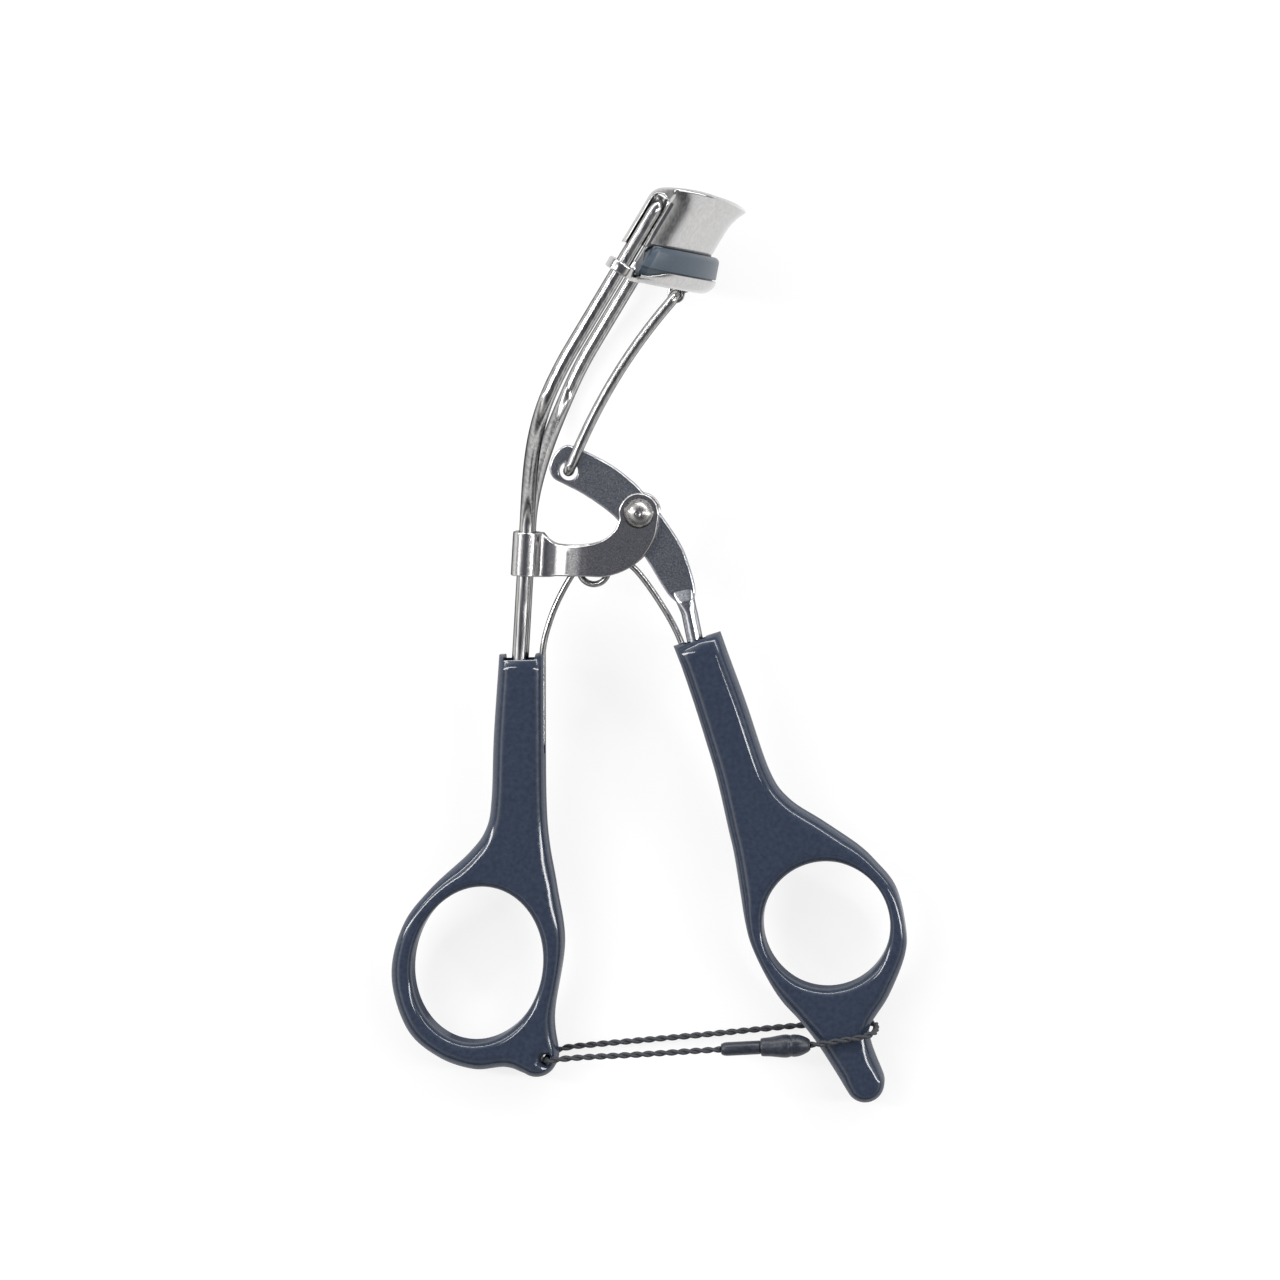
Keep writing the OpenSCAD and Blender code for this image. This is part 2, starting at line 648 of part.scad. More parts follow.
module finger_handle() color([0.1, 0.11, 0.14]) laid_down() {
    socket_low = shank_end * shank_dir - fit_gap;
    socket_h = 30;
    mouth_r = 1.3;
    lug_bore_r = 0.85;
    recess = [4.9, 2.4, 5.8];
    difference() {
        rounded_plate(finger_outline, handle_t, edge_r);
        flared_cutter(ellipse(finger_centre, finger_w, finger_h, finger_lean, 56), handle_t, 1.3);
        // Sockets of the two frame wires, and the recess round them
        rotate([-90, 0, -shank_lean]) for (side = [-1, 1])
            translate([shank_x, side * shank_gap / 2, socket_low])
                cylinder(d = wire_d + 2 * fit_gap, h = socket_h);
        rotate([0, 0, -shank_lean])
            translate([shank_x, -23.2, 0]) cube(recess, center = true);
        leg_groove([-15.6, -38], [-15.5, -21], coil_z);
        // The cord's hole through the lug, with rounded mouths
        translate(cord_hole) rotate_extrude() polygon(concat(
            [[0, -handle_t], [lug_bore_r + mouth_r, -handle_t]],
            arc([lug_bore_r + mouth_r, mouth_r - handle_t / 2], mouth_r, 270, 180, 6),
            arc([lug_bore_r + mouth_r, handle_t / 2 - mouth_r], mouth_r, 180, 90, 6),
            [[lug_bore_r + mouth_r, handle_t], [0, handle_t]]
        ));
    }
}

module thumb_handle() color([0.1, 0.11, 0.14]) laid_down() {
    mouth_r = 1.5;
    difference() {
        rounded_plate(thumb_outline, handle_t, edge_r);
        translate(thumb_centre) rotate_extrude() polygon(concat(
            [[0, -handle_t], [thumb_r + mouth_r, -handle_t]],
            arc([thumb_r + mouth_r, mouth_r - handle_t / 2], mouth_r, 270, 180, 6),
            arc([thumb_r + mouth_r, handle_t / 2 - mouth_r], mouth_r, 180, 90, 6),
            [[thumb_r + mouth_r, handle_t], [0, handle_t]]
        ));
        along_tang() cylinder(d = tang_d + 2 * fit_gap, h = tang_swell + tang_in + 0.5);
        leg_groove([10.5, -33.4], [6, -19.2], -coil_z);
    }
}

// Tie cord and its lock

module tie_cord() color([0.08, 0.08, 0.09]) laid_down() tube(cord_route, cord_d, 8, [0, 1, 0]);

module lock_socket() color([0.2, 0.21, 0.22]) laid_down() along_lock() rotate_extrude() {
    r = lock_d / 2;
    end = lock_len - 0.05;
    polygon([
        [0.8, lock_join], [r - 0.3, lock_join], [r, lock_join + 0.4], [r, end - 4.5], [r - 0.25, end - 2.5],
        [r - 0.75, end - 0.6], [r - 1.05, end], [0, end], [0, end - 3], [0.8, end - 3]
    ]);
}

module lock_plug() color([0.2, 0.21, 0.22]) laid_down() along_lock() rotate_extrude() {
    r = 1.1;
    polygon([
        [0, 0.05], [0.8, 0.05], [r, 0.6], [r, lock_join - 0.02], [0.75, lock_join - 0.02],
        [0.75, lock_join + 4], [0, lock_join + 4]
    ]);
}

frame_wire_near();
frame_wire_far();
upper_jaw();
lower_jaw();
lash_pad();
push_link();
lever_arm();
pivot_bracket();
pivot_rivet();
pivot_washers();
return_spring();
finger_handle();
thumb_handle();
tie_cord();
lock_socket();
lock_plug();
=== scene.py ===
# %% [markdown]
# # An eyelash curler, dressed from its CAD frame
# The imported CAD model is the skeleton. Every piece here is built in the tool's own drawing
# coordinates, in millimetres from the pivot, and then carried to the table by one change of
# frame. That change is read from the pivot's joint, so it can't drift away from the CAD.

# %% Load the frame
import json
import math

import bmesh
import bpy
import numpy as np
from mathutils import Matrix, Vector
from mathutils.geometry import delaunay_2d_cdt


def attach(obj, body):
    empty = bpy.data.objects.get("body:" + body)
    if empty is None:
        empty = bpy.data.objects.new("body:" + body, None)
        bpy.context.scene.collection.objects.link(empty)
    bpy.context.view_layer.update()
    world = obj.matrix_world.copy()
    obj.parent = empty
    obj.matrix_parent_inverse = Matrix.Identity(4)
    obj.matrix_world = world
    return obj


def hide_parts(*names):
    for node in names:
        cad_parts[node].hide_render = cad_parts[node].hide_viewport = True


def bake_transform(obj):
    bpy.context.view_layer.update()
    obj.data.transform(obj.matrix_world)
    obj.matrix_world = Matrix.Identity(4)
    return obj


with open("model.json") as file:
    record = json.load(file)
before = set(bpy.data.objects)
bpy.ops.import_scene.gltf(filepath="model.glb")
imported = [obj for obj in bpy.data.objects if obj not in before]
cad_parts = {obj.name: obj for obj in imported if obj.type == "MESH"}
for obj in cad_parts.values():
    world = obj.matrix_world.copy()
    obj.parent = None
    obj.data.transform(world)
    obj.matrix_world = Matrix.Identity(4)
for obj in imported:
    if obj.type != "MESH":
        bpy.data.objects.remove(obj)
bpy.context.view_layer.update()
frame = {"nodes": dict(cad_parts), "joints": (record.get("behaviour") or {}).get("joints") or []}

pivot = next(j for j in frame["joints"] if j["name"] == "lever_hinge")
tool_origin = np.array(pivot["pos_m"])
tool_z = np.array(pivot["axis"])
tool_x = np.array([1.0, 0.0, 0.0])
tool_y = np.cross(tool_z, tool_x)
tool_axes = np.array([tool_x, tool_y, tool_z])


def on_table(points):
    """Tool millimetres to row metres."""
    p = np.asarray(points, float) * 0.001
    return tool_origin + p[..., :1] * tool_x + p[..., 1:2] * tool_y + p[..., 2:3] * tool_z


# %% [markdown]
# ## Camera
# The photograph looks straight down on a tool that lies on its side, from a little to the right
# of it, so that the two frame wires show side by side. A long lens from most of a metre away
# gives that view. A camera's own axes are right, up and backwards, so a small turn from the
# tool's axes is all that it needs.

# %% Camera
sensor_mm, lens_mm = 36, 141.24
camera_place = [63.2, 33.4, 797.3]
camera_turns = (-3.844, 4.529, 0.101)


def in_scene(name, data):
    """A new object for a mesh, a curve, a lamp or a camera."""
    obj = bpy.data.objects.new(name, data)
    bpy.context.scene.collection.objects.link(obj)
    return obj


camera_data = bpy.data.cameras.new("studio_camera")
camera_data.sensor_width, camera_data.lens = sensor_mm, lens_mm
camera = in_scene("studio_camera", camera_data)
turn = Vector([math.radians(a) for a in camera_turns])
tool_turn = Matrix(tool_axes.T.tolist())
camera_turn = tool_turn @ Matrix.Rotation(turn.length, 3, turn.normalized())
camera_spot = Matrix.Translation(on_table(camera_place).tolist())
camera.matrix_world = camera_spot @ camera_turn.to_4x4()
bpy.context.scene.camera = camera
print("camera at", [round(v, 3) for v in camera.location])

# %% [markdown]
# ## Shared surface effects
# Every finish here is broken up by one of two things: a fine grain, or faint streaks along the
# tool. An image texture could carry them, but a noise is sharp at any distance and needs no
# unwrapping. Each is a node group with named inputs, so a finish only chooses its own sizes.
# A group gives out plain values, and the shader stays in the material.


# %% Node helpers
def node(tree, kind, links=(), **values):
    """A node with some inputs linked and some set by name."""
    made = tree.nodes.new(kind)
    for key, value in values.items():
        if hasattr(made, key):
            setattr(made, key, value)
        else:
            made.inputs[key.replace("_", " ")].default_value = value
    for target, source in links:
        tree.links.new(source, made.inputs[target])
    return made


def maths(tree, operation, *inputs):
    """The result of a maths node whose inputs are sockets or plain numbers."""
    made = node(tree, "ShaderNodeMath", operation=operation)
    for socket, given in zip(made.inputs, inputs):
        if isinstance(given, (int, float)):
            socket.default_value = given
        else:
            tree.links.new(given, socket)
    return made.outputs[0]


print("helpers for every node tree:", node.__name__, maths.__name__)


# %% Streaks
def shader_group(name, inputs):
    """An empty group with number inputs that gives out a value and a height."""
    group = bpy.data.node_groups.new(name, "ShaderNodeTree")
    for label, default in inputs.items():
        socket = group.interface.new_socket(label, in_out="INPUT", socket_type="NodeSocketFloat")
        socket.default_value = default
    for label in ("Value", "Height"):
        group.interface.new_socket(label, in_out="OUTPUT", socket_type="NodeSocketFloat")
    return group, group.nodes.new("NodeGroupInput"), group.nodes.new("NodeGroupOutput")


def give_out(group, given, out, noise):
    """A noise as the group's height, and spread from Low to High as its value."""
    spread = node(group, "ShaderNodeMapRange", [
        ("Value", noise.outputs["Fac"]),
        ("To Min", given.outputs["Low"]), ("To Max", given.outputs["High"]),
    ], From_Min=0.3, From_Max=0.7)
    group.links.new(spread.outputs[0], out.inputs["Value"])
    group.links.new(noise.outputs["Fac"], out.inputs["Height"])
    print("group", group.name)
    return group


def streak_group():
    """Noise that is stretched along the tool. Across and Along are its scales."""
    sizes = {"Across": 1500, "Along": 60, "Low": 0, "High": 1}
    group, given, out = shader_group("drawn_streaks", sizes)
    place = node(group, "ShaderNodeTexCoord")
    stretch = node(group, "ShaderNodeCombineXYZ", [
        ("X", given.outputs["Across"]), ("Y", given.outputs["Along"]), ("Z", given.outputs["Across"]),
    ])
    scaled = node(group, "ShaderNodeVectorMath", operation="MULTIPLY")
    group.links.new(place.outputs["Object"], scaled.inputs[0])
    group.links.new(stretch.outputs[0], scaled.inputs[1])
    noise = node(group, "ShaderNodeTexNoise", [("Vector", scaled.outputs[0])], Scale=1, Detail=3)
    return give_out(group, given, out, noise)


streaks = streak_group()


# %% Grain
def grain_group():
    """Even noise. Size is its scale."""
    group, given, out = shader_group("fine_grain", {"Size": 4000, "Low": 0, "High": 1})
    place = node(group, "ShaderNodeTexCoord")
    noise = node(group, "ShaderNodeTexNoise", [
        ("Vector", place.outputs["Object"]), ("Scale", given.outputs["Size"]),
    ], Detail=4)
    return give_out(group, given, out, noise)


grain = grain_group()

# %% [markdown]
# ## Plated metals
# The wires, the jaws and the small steel parts are nickel plated. Wire is drawn and sheet is
# rolled, so bright plate is a metal whose roughness runs in streaks, and the lever and the
# bracket have the same plate over a grainy blank. One flat colour would look like paint, so two
# colours are mixed by a group's value, and no surface is even. Round metal gets a painted shade
# towards its outline: Layer Weight darkens its base colour there, and on a metal that colour is the
# colour of its reflection.


# %% Mixed colours and outlines
def mixed_colour(tree, factor, first, second):
    """A colour between two others, each of which is a socket or a plain colour."""
    mix = node(tree, "ShaderNodeMix", [("Factor", factor)], data_type="RGBA")
    for socket, colour in zip([s for s in mix.inputs if s.type == "RGBA"], (first, second)):
        if isinstance(colour, tuple):
            socket.default_value = (*colour, 1)
        else:
            tree.links.new(colour, socket)
    return next(s for s in mix.outputs if s.type == "RGBA")


def towards_outline(tree, start, end, **range_of):
    """A value that changes as the surface turns away from the eye."""
    facing = node(tree, "ShaderNodeLayerWeight", Blend=0.5)
    fade = node(tree, "ShaderNodeMapRange", [("Value", facing.outputs["Facing"])],
                From_Min=start, From_Max=end, **range_of)
    return fade.outputs[0]


# The first range is where a metal's base colour fades to its painted outline shade; the second is where
# a moulding's specular level falls.
outline_shade_fade, edge_gloss = (0.3, 0.8), (0.25, 0.25, 0.26, 1)
rim_fade, usual_level, relief_depth = (0.5, 0.82), 0.5, 0.0002
print("gloss changes over", outline_shade_fade, "on metal and over", rim_fade, "on a moulding")


# %% Plated finishes
def finish(name, dark, light, metallic, rough, group, bump, rim=None, edge=None, **sizes):
    """A Principled finish between two colours and two roughnesses, driven by one group.

    A rim value is the specular level that a moulding falls to at its outline.
    An edge colour is a painted shade: a wire's or a dome's base colour darkens to it at its outline.
    """
    material = bpy.data.materials.new(name)
    material.use_nodes = True
    tree = material.node_tree
    shader = tree.nodes["Principled BSDF"]
    shader.inputs["Metallic"].default_value = metallic
    effect = node(tree, "ShaderNodeGroup", node_tree=group)
    for label, value in sizes.items():
        effect.inputs[label].default_value = value
    colour = mixed_colour(tree, effect.outputs["Value"], dark, light)
    # Painted shade: the base colour is darkened towards the outline, where it fades to the edge colour.
    if edge is not None:
        shader.inputs["Specular Tint"].default_value = edge_gloss
        colour = mixed_colour(tree, towards_outline(tree, *outline_shade_fade), colour, edge)
    tree.links.new(colour, shader.inputs["Base Color"])
    roughness = node(tree, "ShaderNodeMapRange", [("Value", effect.outputs["Value"])],
                     To_Min=rough[0], To_Max=rough[1])
    tree.links.new(roughness.outputs[0], shader.inputs["Roughness"])
    if rim is not None:
        level = towards_outline(tree, *rim_fade, To_Min=usual_level, To_Max=rim)
        tree.links.new(level, shader.inputs["Specular IOR Level"])
    relief = node(tree, "ShaderNodeBump", [("Height", effect.outputs["Height"])],
                  Strength=bump, Distance=relief_depth)
    tree.links.new(relief.outputs[0], shader.inputs["Normal"])
    print("finish", name)
    return material


bright_plate = finish(
    "bright_plate", (0.47, 0.463, 0.459), (0.565, 0.557, 0.553), 1, (0.14, 0.2), streaks,
    bump=0.02, Across=2600, Along=160)
# Each edge colour below is a painted shade that darkens the metal towards its outline.
bright_wire = finish(
    "bright_wire", (0.36, 0.355, 0.355), (0.62, 0.61, 0.6), 1, (0.15, 0.23), streaks,
    bump=0.02, edge=(0.06, 0.06, 0.065), Across=2200, Along=60)
strap_plate = finish(
    "strap_plate", (0.48, 0.47, 0.475), (0.74, 0.725, 0.71), 1, (0.12, 0.2), grain,
    bump=0.035, edge=(0.1, 0.1, 0.105), Size=5200)
grainy_plate = finish(
    "grainy_plate", (0.4, 0.42, 0.46), (0.74, 0.75, 0.78), 1, (0.14, 0.24), grain,
    bump=0.09, edge=(0.08, 0.08, 0.085), Size=5200)
spring_plate = finish(
    "spring_plate", (0.34, 0.34, 0.35), (0.52, 0.51, 0.5), 1, (0.16, 0.26), streaks,
    bump=0.03, edge=(0.05, 0.05, 0.055), Across=2600, Along=120)
rivet_plate = finish(
    "rivet_plate", (0.27, 0.265, 0.26), (0.42, 0.41, 0.4), 1, (0.22, 0.32), grain,
    bump=0.03, edge=(0.12, 0.12, 0.12), Size=5200)

# %% [markdown]
# ## Mouldings, rubber and thread
# The handles are a polished black moulding with a blue cast, the lock is a duller one, the pad
# is soft rubber and the cord is black fibre. All four are the same kind of finish with no metal
# in it, and they differ in roughness and relief. A polished moulding mirrors the white tent in
# a bright rim. The photograph shows almost none, so its gloss fades towards the outline.

# %% Black finishes
black_moulding = finish(
    "black_moulding", (0.022, 0.0305, 0.05), (0.033, 0.0435, 0.07), 0, (0.07, 0.12), grain,
    bump=0.012, rim=0.001, Size=1500)
soft_rubber = finish(
    "soft_rubber", (0.046, 0.064, 0.086), (0.062, 0.084, 0.11), 0, (0.3, 0.42), grain,
    bump=0.06, Size=5000)
lock_moulding = finish(
    "lock_moulding", (0.012, 0.015, 0.024), (0.025, 0.03, 0.043), 0, (0.3, 0.45), grain,
    bump=0.25, Size=1800)
black_fibre = finish(
    "black_fibre", (0.014, 0.016, 0.021), (0.045, 0.049, 0.058), 0, (0.5, 0.75), grain,
    bump=0.3, Size=7000)

# %% [markdown]
# ## Tie cord
# The cord is a loop of two-ply twisted thread that ties the handles shut. It runs from its lock
# round the thumb handle's tail, back behind both handles, through the finger handle's lug and
# into the lock again. A bent tube would look like plastic, so Geometry Nodes wind two strands
# round the route: each point of the route moves sideways by a turning angle, and a small circle
# is swept along the result.

# %% Cord route
cord_route = [
    (27.5, -84.5, 4.4), (29.5, -84.3, 4.4), (32.3, -83.8, 4.2), (35.4, -83.3, 4.2),
    (36.6, -83, 3.9), (37.4, -82.8, 3.1), (37.7, -82.6, 1.9), (37.8, -82.4, 0),
    (37.7, -82.2, -1.9), (37.4, -82.1, -3.1), (36.6, -82, -3.9), (35.4, -82, -4.2),
    (31.5, -82.2, -4.2), (27, -82.5, -4.2), (20, -83.2, -4.2), (10, -84.3, -4.2),
    (0, -85.3, -4.2), (-8, -86.1, -4.1), (-11.6, -86.5, -4.1), (-13.3, -86.9, -4.1),
    (-14.4, -87.3, -3.6), (-14.9, -87.6, -2.5), (-15, -87.7, -1.3), (-15, -87.7, 1.3),
    (-14.9, -87.7, 2.5), (-14.4, -87.6, 3.6), (-13.4, -87.4, 4.2), (-11.8, -87.2, 4.2),
    (-8.2, -86.9, 4.2), (0, -86.4, 4.2), (8, -85.8, 4.2), (13.2, -85.4, 4.3),
]


def smooth_line(points, steps):
    """A Catmull-Rom curve through the points."""
    p = np.asarray(points, float)
    p = np.vstack([2 * p[0] - p[1], p, 2 * p[-1] - p[-2]])
    t = np.linspace(0, 1, steps, endpoint=False)[:, None]
    spans = [
        0.5 * (2 * b + (c - a) * t + (2 * a - 5 * b + 4 * c - d) * t**2
               + (3 * b - a - 3 * c + d) * t**3)
        for a, b, c, d in zip(p, p[1:], p[2:], p[3:])
    ]
    return np.vstack([*spans, p[-2:-1]])


cord_path = on_table(smooth_line(cord_route, 3))


# %% Route as a curve
def route_object(name, points):
    """A poly curve through points in metres."""
    data = bpy.data.curves.new(name, "CURVE")
    data.dimensions = "3D"
    data.twist_mode = "MINIMUM"
    spline = data.splines.new("POLY")
    spline.points.add(len(points) - 1)
    for point, place in zip(spline.points, points):
        point.co = (*place, 1)
    return in_scene(name, data)


cord_line = route_object("cord_line", cord_path)
print("cord line", len(cord_line.data.splines[0].points), "points")


# %% Start and end of a Geometry Nodes tree
def geometry_tree(name, inputs):
    """An empty tree with named inputs, and the identifier of each input's socket."""
    tree = bpy.data.node_groups.new(name, "GeometryNodeTree")
    tree.interface.new_socket("Geometry", in_out="INPUT", socket_type="NodeSocketGeometry")
    ids = {}
    for label, kind, default in inputs:
        socket = tree.interface.new_socket(label, in_out="INPUT", socket_type=kind)
        if default is not None:
            socket.default_value = default
        ids[label] = socket.identifier
    tree.interface.new_socket("Geometry", in_out="OUTPUT", socket_type="NodeSocketGeometry")
    return tree, tree.nodes.new("NodeGroupInput"), tree.nodes.new("NodeGroupOutput"), ids


def end_tree(tree, given, out, geometry):
    """The end of each tree: real faces, smooth shading and the piece's material."""
    real = node(tree, "GeometryNodeRealizeInstances", [("Geometry", geometry)])
    smooth = node(tree, "GeometryNodeSetShadeSmooth", [("Geometry", real.outputs[0])])
    painted = node(tree, "GeometryNodeSetMaterial", [
        ("Geometry", smooth.outputs[0]), ("Material", given.outputs["Material"]),
    ])
    tree.links.new(painted.outputs[0], out.inputs[0])
    print("tree", tree.name, len(tree.nodes), "nodes")


print("every tree starts with", geometry_tree.__name__, "and ends with", end_tree.__name__)


# %% Strands wound by Geometry Nodes
def strand_tree(strands=2):
    """Strands that wind round a route, one turn for each pitch."""
    tree, given, out, ids = geometry_tree("wound_strands", [
        ("Strand Radius", "NodeSocketFloat", 0.00028), ("Offset", "NodeSocketFloat", 0.00026),
        ("Pitch", "NodeSocketFloat", 0.0024), ("Points", "NodeSocketInt", 640),
        ("Material", "NodeSocketMaterial", None),
    ])
    link = tree.links.new
    even = node(tree, "GeometryNodeResampleCurve", [
        ("Curve", given.outputs["Geometry"]), ("Count", given.outputs["Points"]),
    ])
    where = node(tree, "GeometryNodeSplineParameter")
    ahead = node(tree, "GeometryNodeInputTangent")
    side = node(tree, "GeometryNodeInputNormal")
    other = node(tree, "ShaderNodeVectorMath", operation="CROSS_PRODUCT")
    link(ahead.outputs[0], other.inputs[0])
    link(side.outputs[0], other.inputs[1])
    turns = maths(tree, "DIVIDE", where.outputs["Length"], given.outputs["Pitch"])
    ring = node(tree, "GeometryNodeCurvePrimitiveCircle", [
        ("Radius", given.outputs["Strand Radius"]),
    ], Resolution=8)
    both = node(tree, "GeometryNodeJoinGeometry")
    for strand in range(strands):
        angle = maths(tree, "MULTIPLY_ADD", turns, 2 * math.pi, 2 * math.pi * strand / strands)
        move = node(tree, "ShaderNodeVectorMath", operation="ADD")
        for k, (operation, axis) in enumerate((("COSINE", side), ("SINE", other))):
            reach = maths(tree, "MULTIPLY", maths(tree, operation, angle), given.outputs["Offset"])
            step = node(tree, "ShaderNodeVectorMath", [("Scale", reach)], operation="SCALE")
            link(axis.outputs[0], step.inputs[0])
            link(step.outputs[0], move.inputs[k])
        wound = node(tree, "GeometryNodeSetPosition", [
            ("Geometry", even.outputs[0]), ("Offset", move.outputs[0]),
        ])
        tube = node(tree, "GeometryNodeCurveToMesh", [
            ("Curve", wound.outputs[0]), ("Profile Curve", ring.outputs[0]),
        ], Fill_Caps=True)
        link(tube.outputs[0], both.inputs[0])
    end_tree(tree, given, out, both.outputs[0])
    return tree, ids


wound_strands, strand_ids = strand_tree()


# %% Cord as a mesh
def baked(name, route, tree, settings):
    """The route's Geometry Nodes result as a plain mesh object."""
    modifier = route.modifiers.new("nodes", "NODES")
    modifier.node_group = tree
    for identifier, value in settings.items():
        modifier[identifier] = value
    bpy.context.view_layer.update()
    whole = bpy.context.evaluated_depsgraph_get()
    mesh = bpy.data.meshes.new_from_object(route.evaluated_get(whole))
    bpy.data.objects.remove(route)
    mesh.name = name
    return in_scene(name, mesh)


tie_thread = baked("tie_thread", cord_line, wound_strands, {
    strand_ids["Strand Radius"]: 0.00029,
    strand_ids["Offset"]: 0.00024,
    strand_ids["Pitch"]: 0.0038,
    strand_ids["Points"]: 700,
    strand_ids["Material"]: black_fibre,
})
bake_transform(tie_thread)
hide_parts("tie_cord")
print("strands", len(tie_thread.data.polygons), "faces")

# %% [markdown]
# ## Tent of light
# The tool lies under a broad tent of light. Large lamps could build it, but a world needs no
# objects, and a ramp over the angle of each ray shapes it freely. The tent is white at the
# sides and dark where the camera looks through it, because that is what turns flat plate dark
# and draws bright lines along every rounded edge. It is brighter on the left and darker on the
# near side, as the photograph's reflections are. The camera itself sees plain white.

# %% World
world = bpy.data.worlds.new("light_tent")
bpy.context.scene.world = world
world.use_nodes = True
tent = world.node_tree
tent.nodes.clear()
look = node(tent, "ShaderNodeTexCoord")


def towards(direction):
    """How far a ray looks in a direction: 1 is straight along it, and -1 straight away."""
    dot = node(tent, "ShaderNodeVectorMath", operation="DOT_PRODUCT")
    tent.links.new(look.outputs["Generated"], dot.inputs[0])
    dot.inputs[1].default_value = direction
    return dot.outputs["Value"]


upwards, leftwards, nearwards = (0.16, -0.1, 0.982), (-0.95, 0.31, 0), (0, -1, 0)
ramp = node(tent, "ShaderNodeValToRGB", [("Fac", towards(upwards))])
stops = [
    (0.0, (0.8, 0.8, 0.8)), (0.08, (0.34, 0.34, 0.35)), (0.3, (0.24, 0.24, 0.26)),
    (0.4, (0.5, 0.5, 0.51)), (0.46, (1.4, 1.4, 1.38)), (0.6, (1.4, 1.4, 1.38)),
    (0.67, (0.8, 0.8, 0.81)), (0.78, (0.28, 0.285, 0.3)), (0.87, (0.13, 0.135, 0.155)),
    (1.0, (0.105, 0.11, 0.13)),
]
while len(ramp.color_ramp.elements) < len(stops):
    ramp.color_ramp.elements.new(0.5)
for element, (place, colour) in zip(ramp.color_ramp.elements, stops):
    element.position = place
    element.color = (*colour, 1)
print("tent stops", len(ramp.color_ramp.elements))


# %% Strength of the tent
def mixed_surface(tree, output, share, first, second):
    """Send the first shader to a tree's output, with a share of the second."""
    mix = node(tree, "ShaderNodeMixShader")
    for socket, source in zip(mix.inputs, (share, first.outputs[0], second.outputs[0])):
        tree.links.new(source, socket)
    tree.links.new(mix.outputs[0], node(tree, output).inputs["Surface"])


sided = node(tent, "ShaderNodeMapRange", [("Value", towards(leftwards))],
             From_Min=-1, From_Max=1, To_Min=0.75, To_Max=1.35)
shaded = node(tent, "ShaderNodeMapRange", [("Value", towards(nearwards))],
              From_Min=0.35, From_Max=0.85, To_Min=1, To_Max=0.35)
strength = maths(tent, "MULTIPLY", sided.outputs[0], shaded.outputs[0])
tent_light = node(tent, "ShaderNodeBackground", [
    ("Color", ramp.outputs["Color"]), ("Strength", strength),
])
plain = node(tent, "ShaderNodeBackground", Color=(1, 1, 1, 1), Strength=1)
seen = node(tent, "ShaderNodeLightPath").outputs["Is Camera Ray"]
mixed_surface(tent, "ShaderNodeOutputWorld", seen, tent_light, plain)
print("tent", len(tent.nodes), "nodes")

# %% [markdown]
# ## Lamps
# Five narrow soft boxes stand round the top of the tent. They draw the thin bright lines on the
# handles. A brighter ramp would light everything else too, so area lamps do this: each is long,
# thin and turned towards the tool.


# %% Lamps
def soft_box(name, place, size, power):
    """A rectangular lamp that looks at the middle of the tool."""
    data = bpy.data.lights.new(name, "AREA")
    data.shape = "RECTANGLE"
    data.size, data.size_y = size
    data.energy = power
    lamp = in_scene(name, data)
    lamp.location = place
    lamp.rotation_euler = (-Vector(place)).to_track_quat("-Z", "Y").to_euler()


soft_box("left_box", (-0.68, 0.08, 0.74), (0.08, 0.9), 4.3)
soft_box("right_box", (0.78, -0.05, 0.64), (0.08, 0.9), 4.3)
soft_box("top_box", (0.05, 0.85, 0.6), (0.8, 0.08), 3.5)
soft_box("left_corner_box", (-0.56, 0.56, 0.62), (0.7, 0.07), 2.4)
soft_box("right_corner_box", (0.56, 0.56, 0.62), (0.7, 0.07), 2.4)

# %% [markdown]
# ## Floor
# The tool lies on white paper with a soft shadow under it. A shadow catcher would leave the
# background empty, so the floor is a plane that mixes plain white into a matt white. It does so
# only for the rays that the camera or a reflection sends, so that it stays clean and still
# keeps the tool's shadow.

# %% Floor
floor_half, camera_share, gloss_share = 6.0, 0.8, 0.6
floor_mesh = bpy.data.meshes.new("floor")
floor_mesh.from_pydata(
    [(floor_half * x, floor_half * y, 0) for x, y in ((-1, -1), (1, -1), (1, 1), (-1, 1))],
    [], [(0, 1, 2, 3)],
)
floor = in_scene("floor", floor_mesh)
white_paper = bpy.data.materials.new("white_paper")
white_paper.use_nodes = True
paper = white_paper.node_tree
paper.nodes.clear()
matt = node(paper, "ShaderNodeBsdfDiffuse", Color=(0.9, 0.9, 0.9, 1))
glow = node(paper, "ShaderNodeEmission", Color=(1, 1, 1, 1), Strength=1)
ray = node(paper, "ShaderNodeLightPath").outputs
seen = maths(paper, "MAXIMUM", ray["Is Camera Ray"], ray["Is Transmission Ray"])
share = maths(paper, "MULTIPLY_ADD", ray["Is Glossy Ray"], gloss_share,
              maths(paper, "MULTIPLY", seen, camera_share))
mixed_surface(paper, "ShaderNodeOutputMaterial", share, matt, glow)
floor_mesh.materials.append(white_paper)
bpy.context.scene.view_settings.view_transform = "Standard"
print("floor", 2 * floor_half, "m wide")

# %% [markdown]
# ## Blanks and bends
# Most of this tool is flat stock: moulded plates, a stamped lever, and sheet that was cut flat
# and then bent. A Bevel modifier could round the edges of such a plate, but it fails where an
# outline is narrow. So one helper makes a flat blank with rounded edges, and another bends it.
# The rounding is real geometry, because a sharp edge on bright plate never catches the light.
# Each point also keeps its exact normal, which keeps the flats flat in a reflection.


# %% Outlines
def outward(loop):
    """The step at each corner that moves a closed loop out by 1. The material is on its left."""
    edge = np.roll(loop, -1, 0) - loop
    edge /= np.linalg.norm(edge, axis=1, keepdims=True)
    both = edge + np.roll(edge, 1, 0)
    step = np.column_stack([both[:, 1], -both[:, 0]])
    return 2 * step / (step * step).sum(1, keepdims=True)


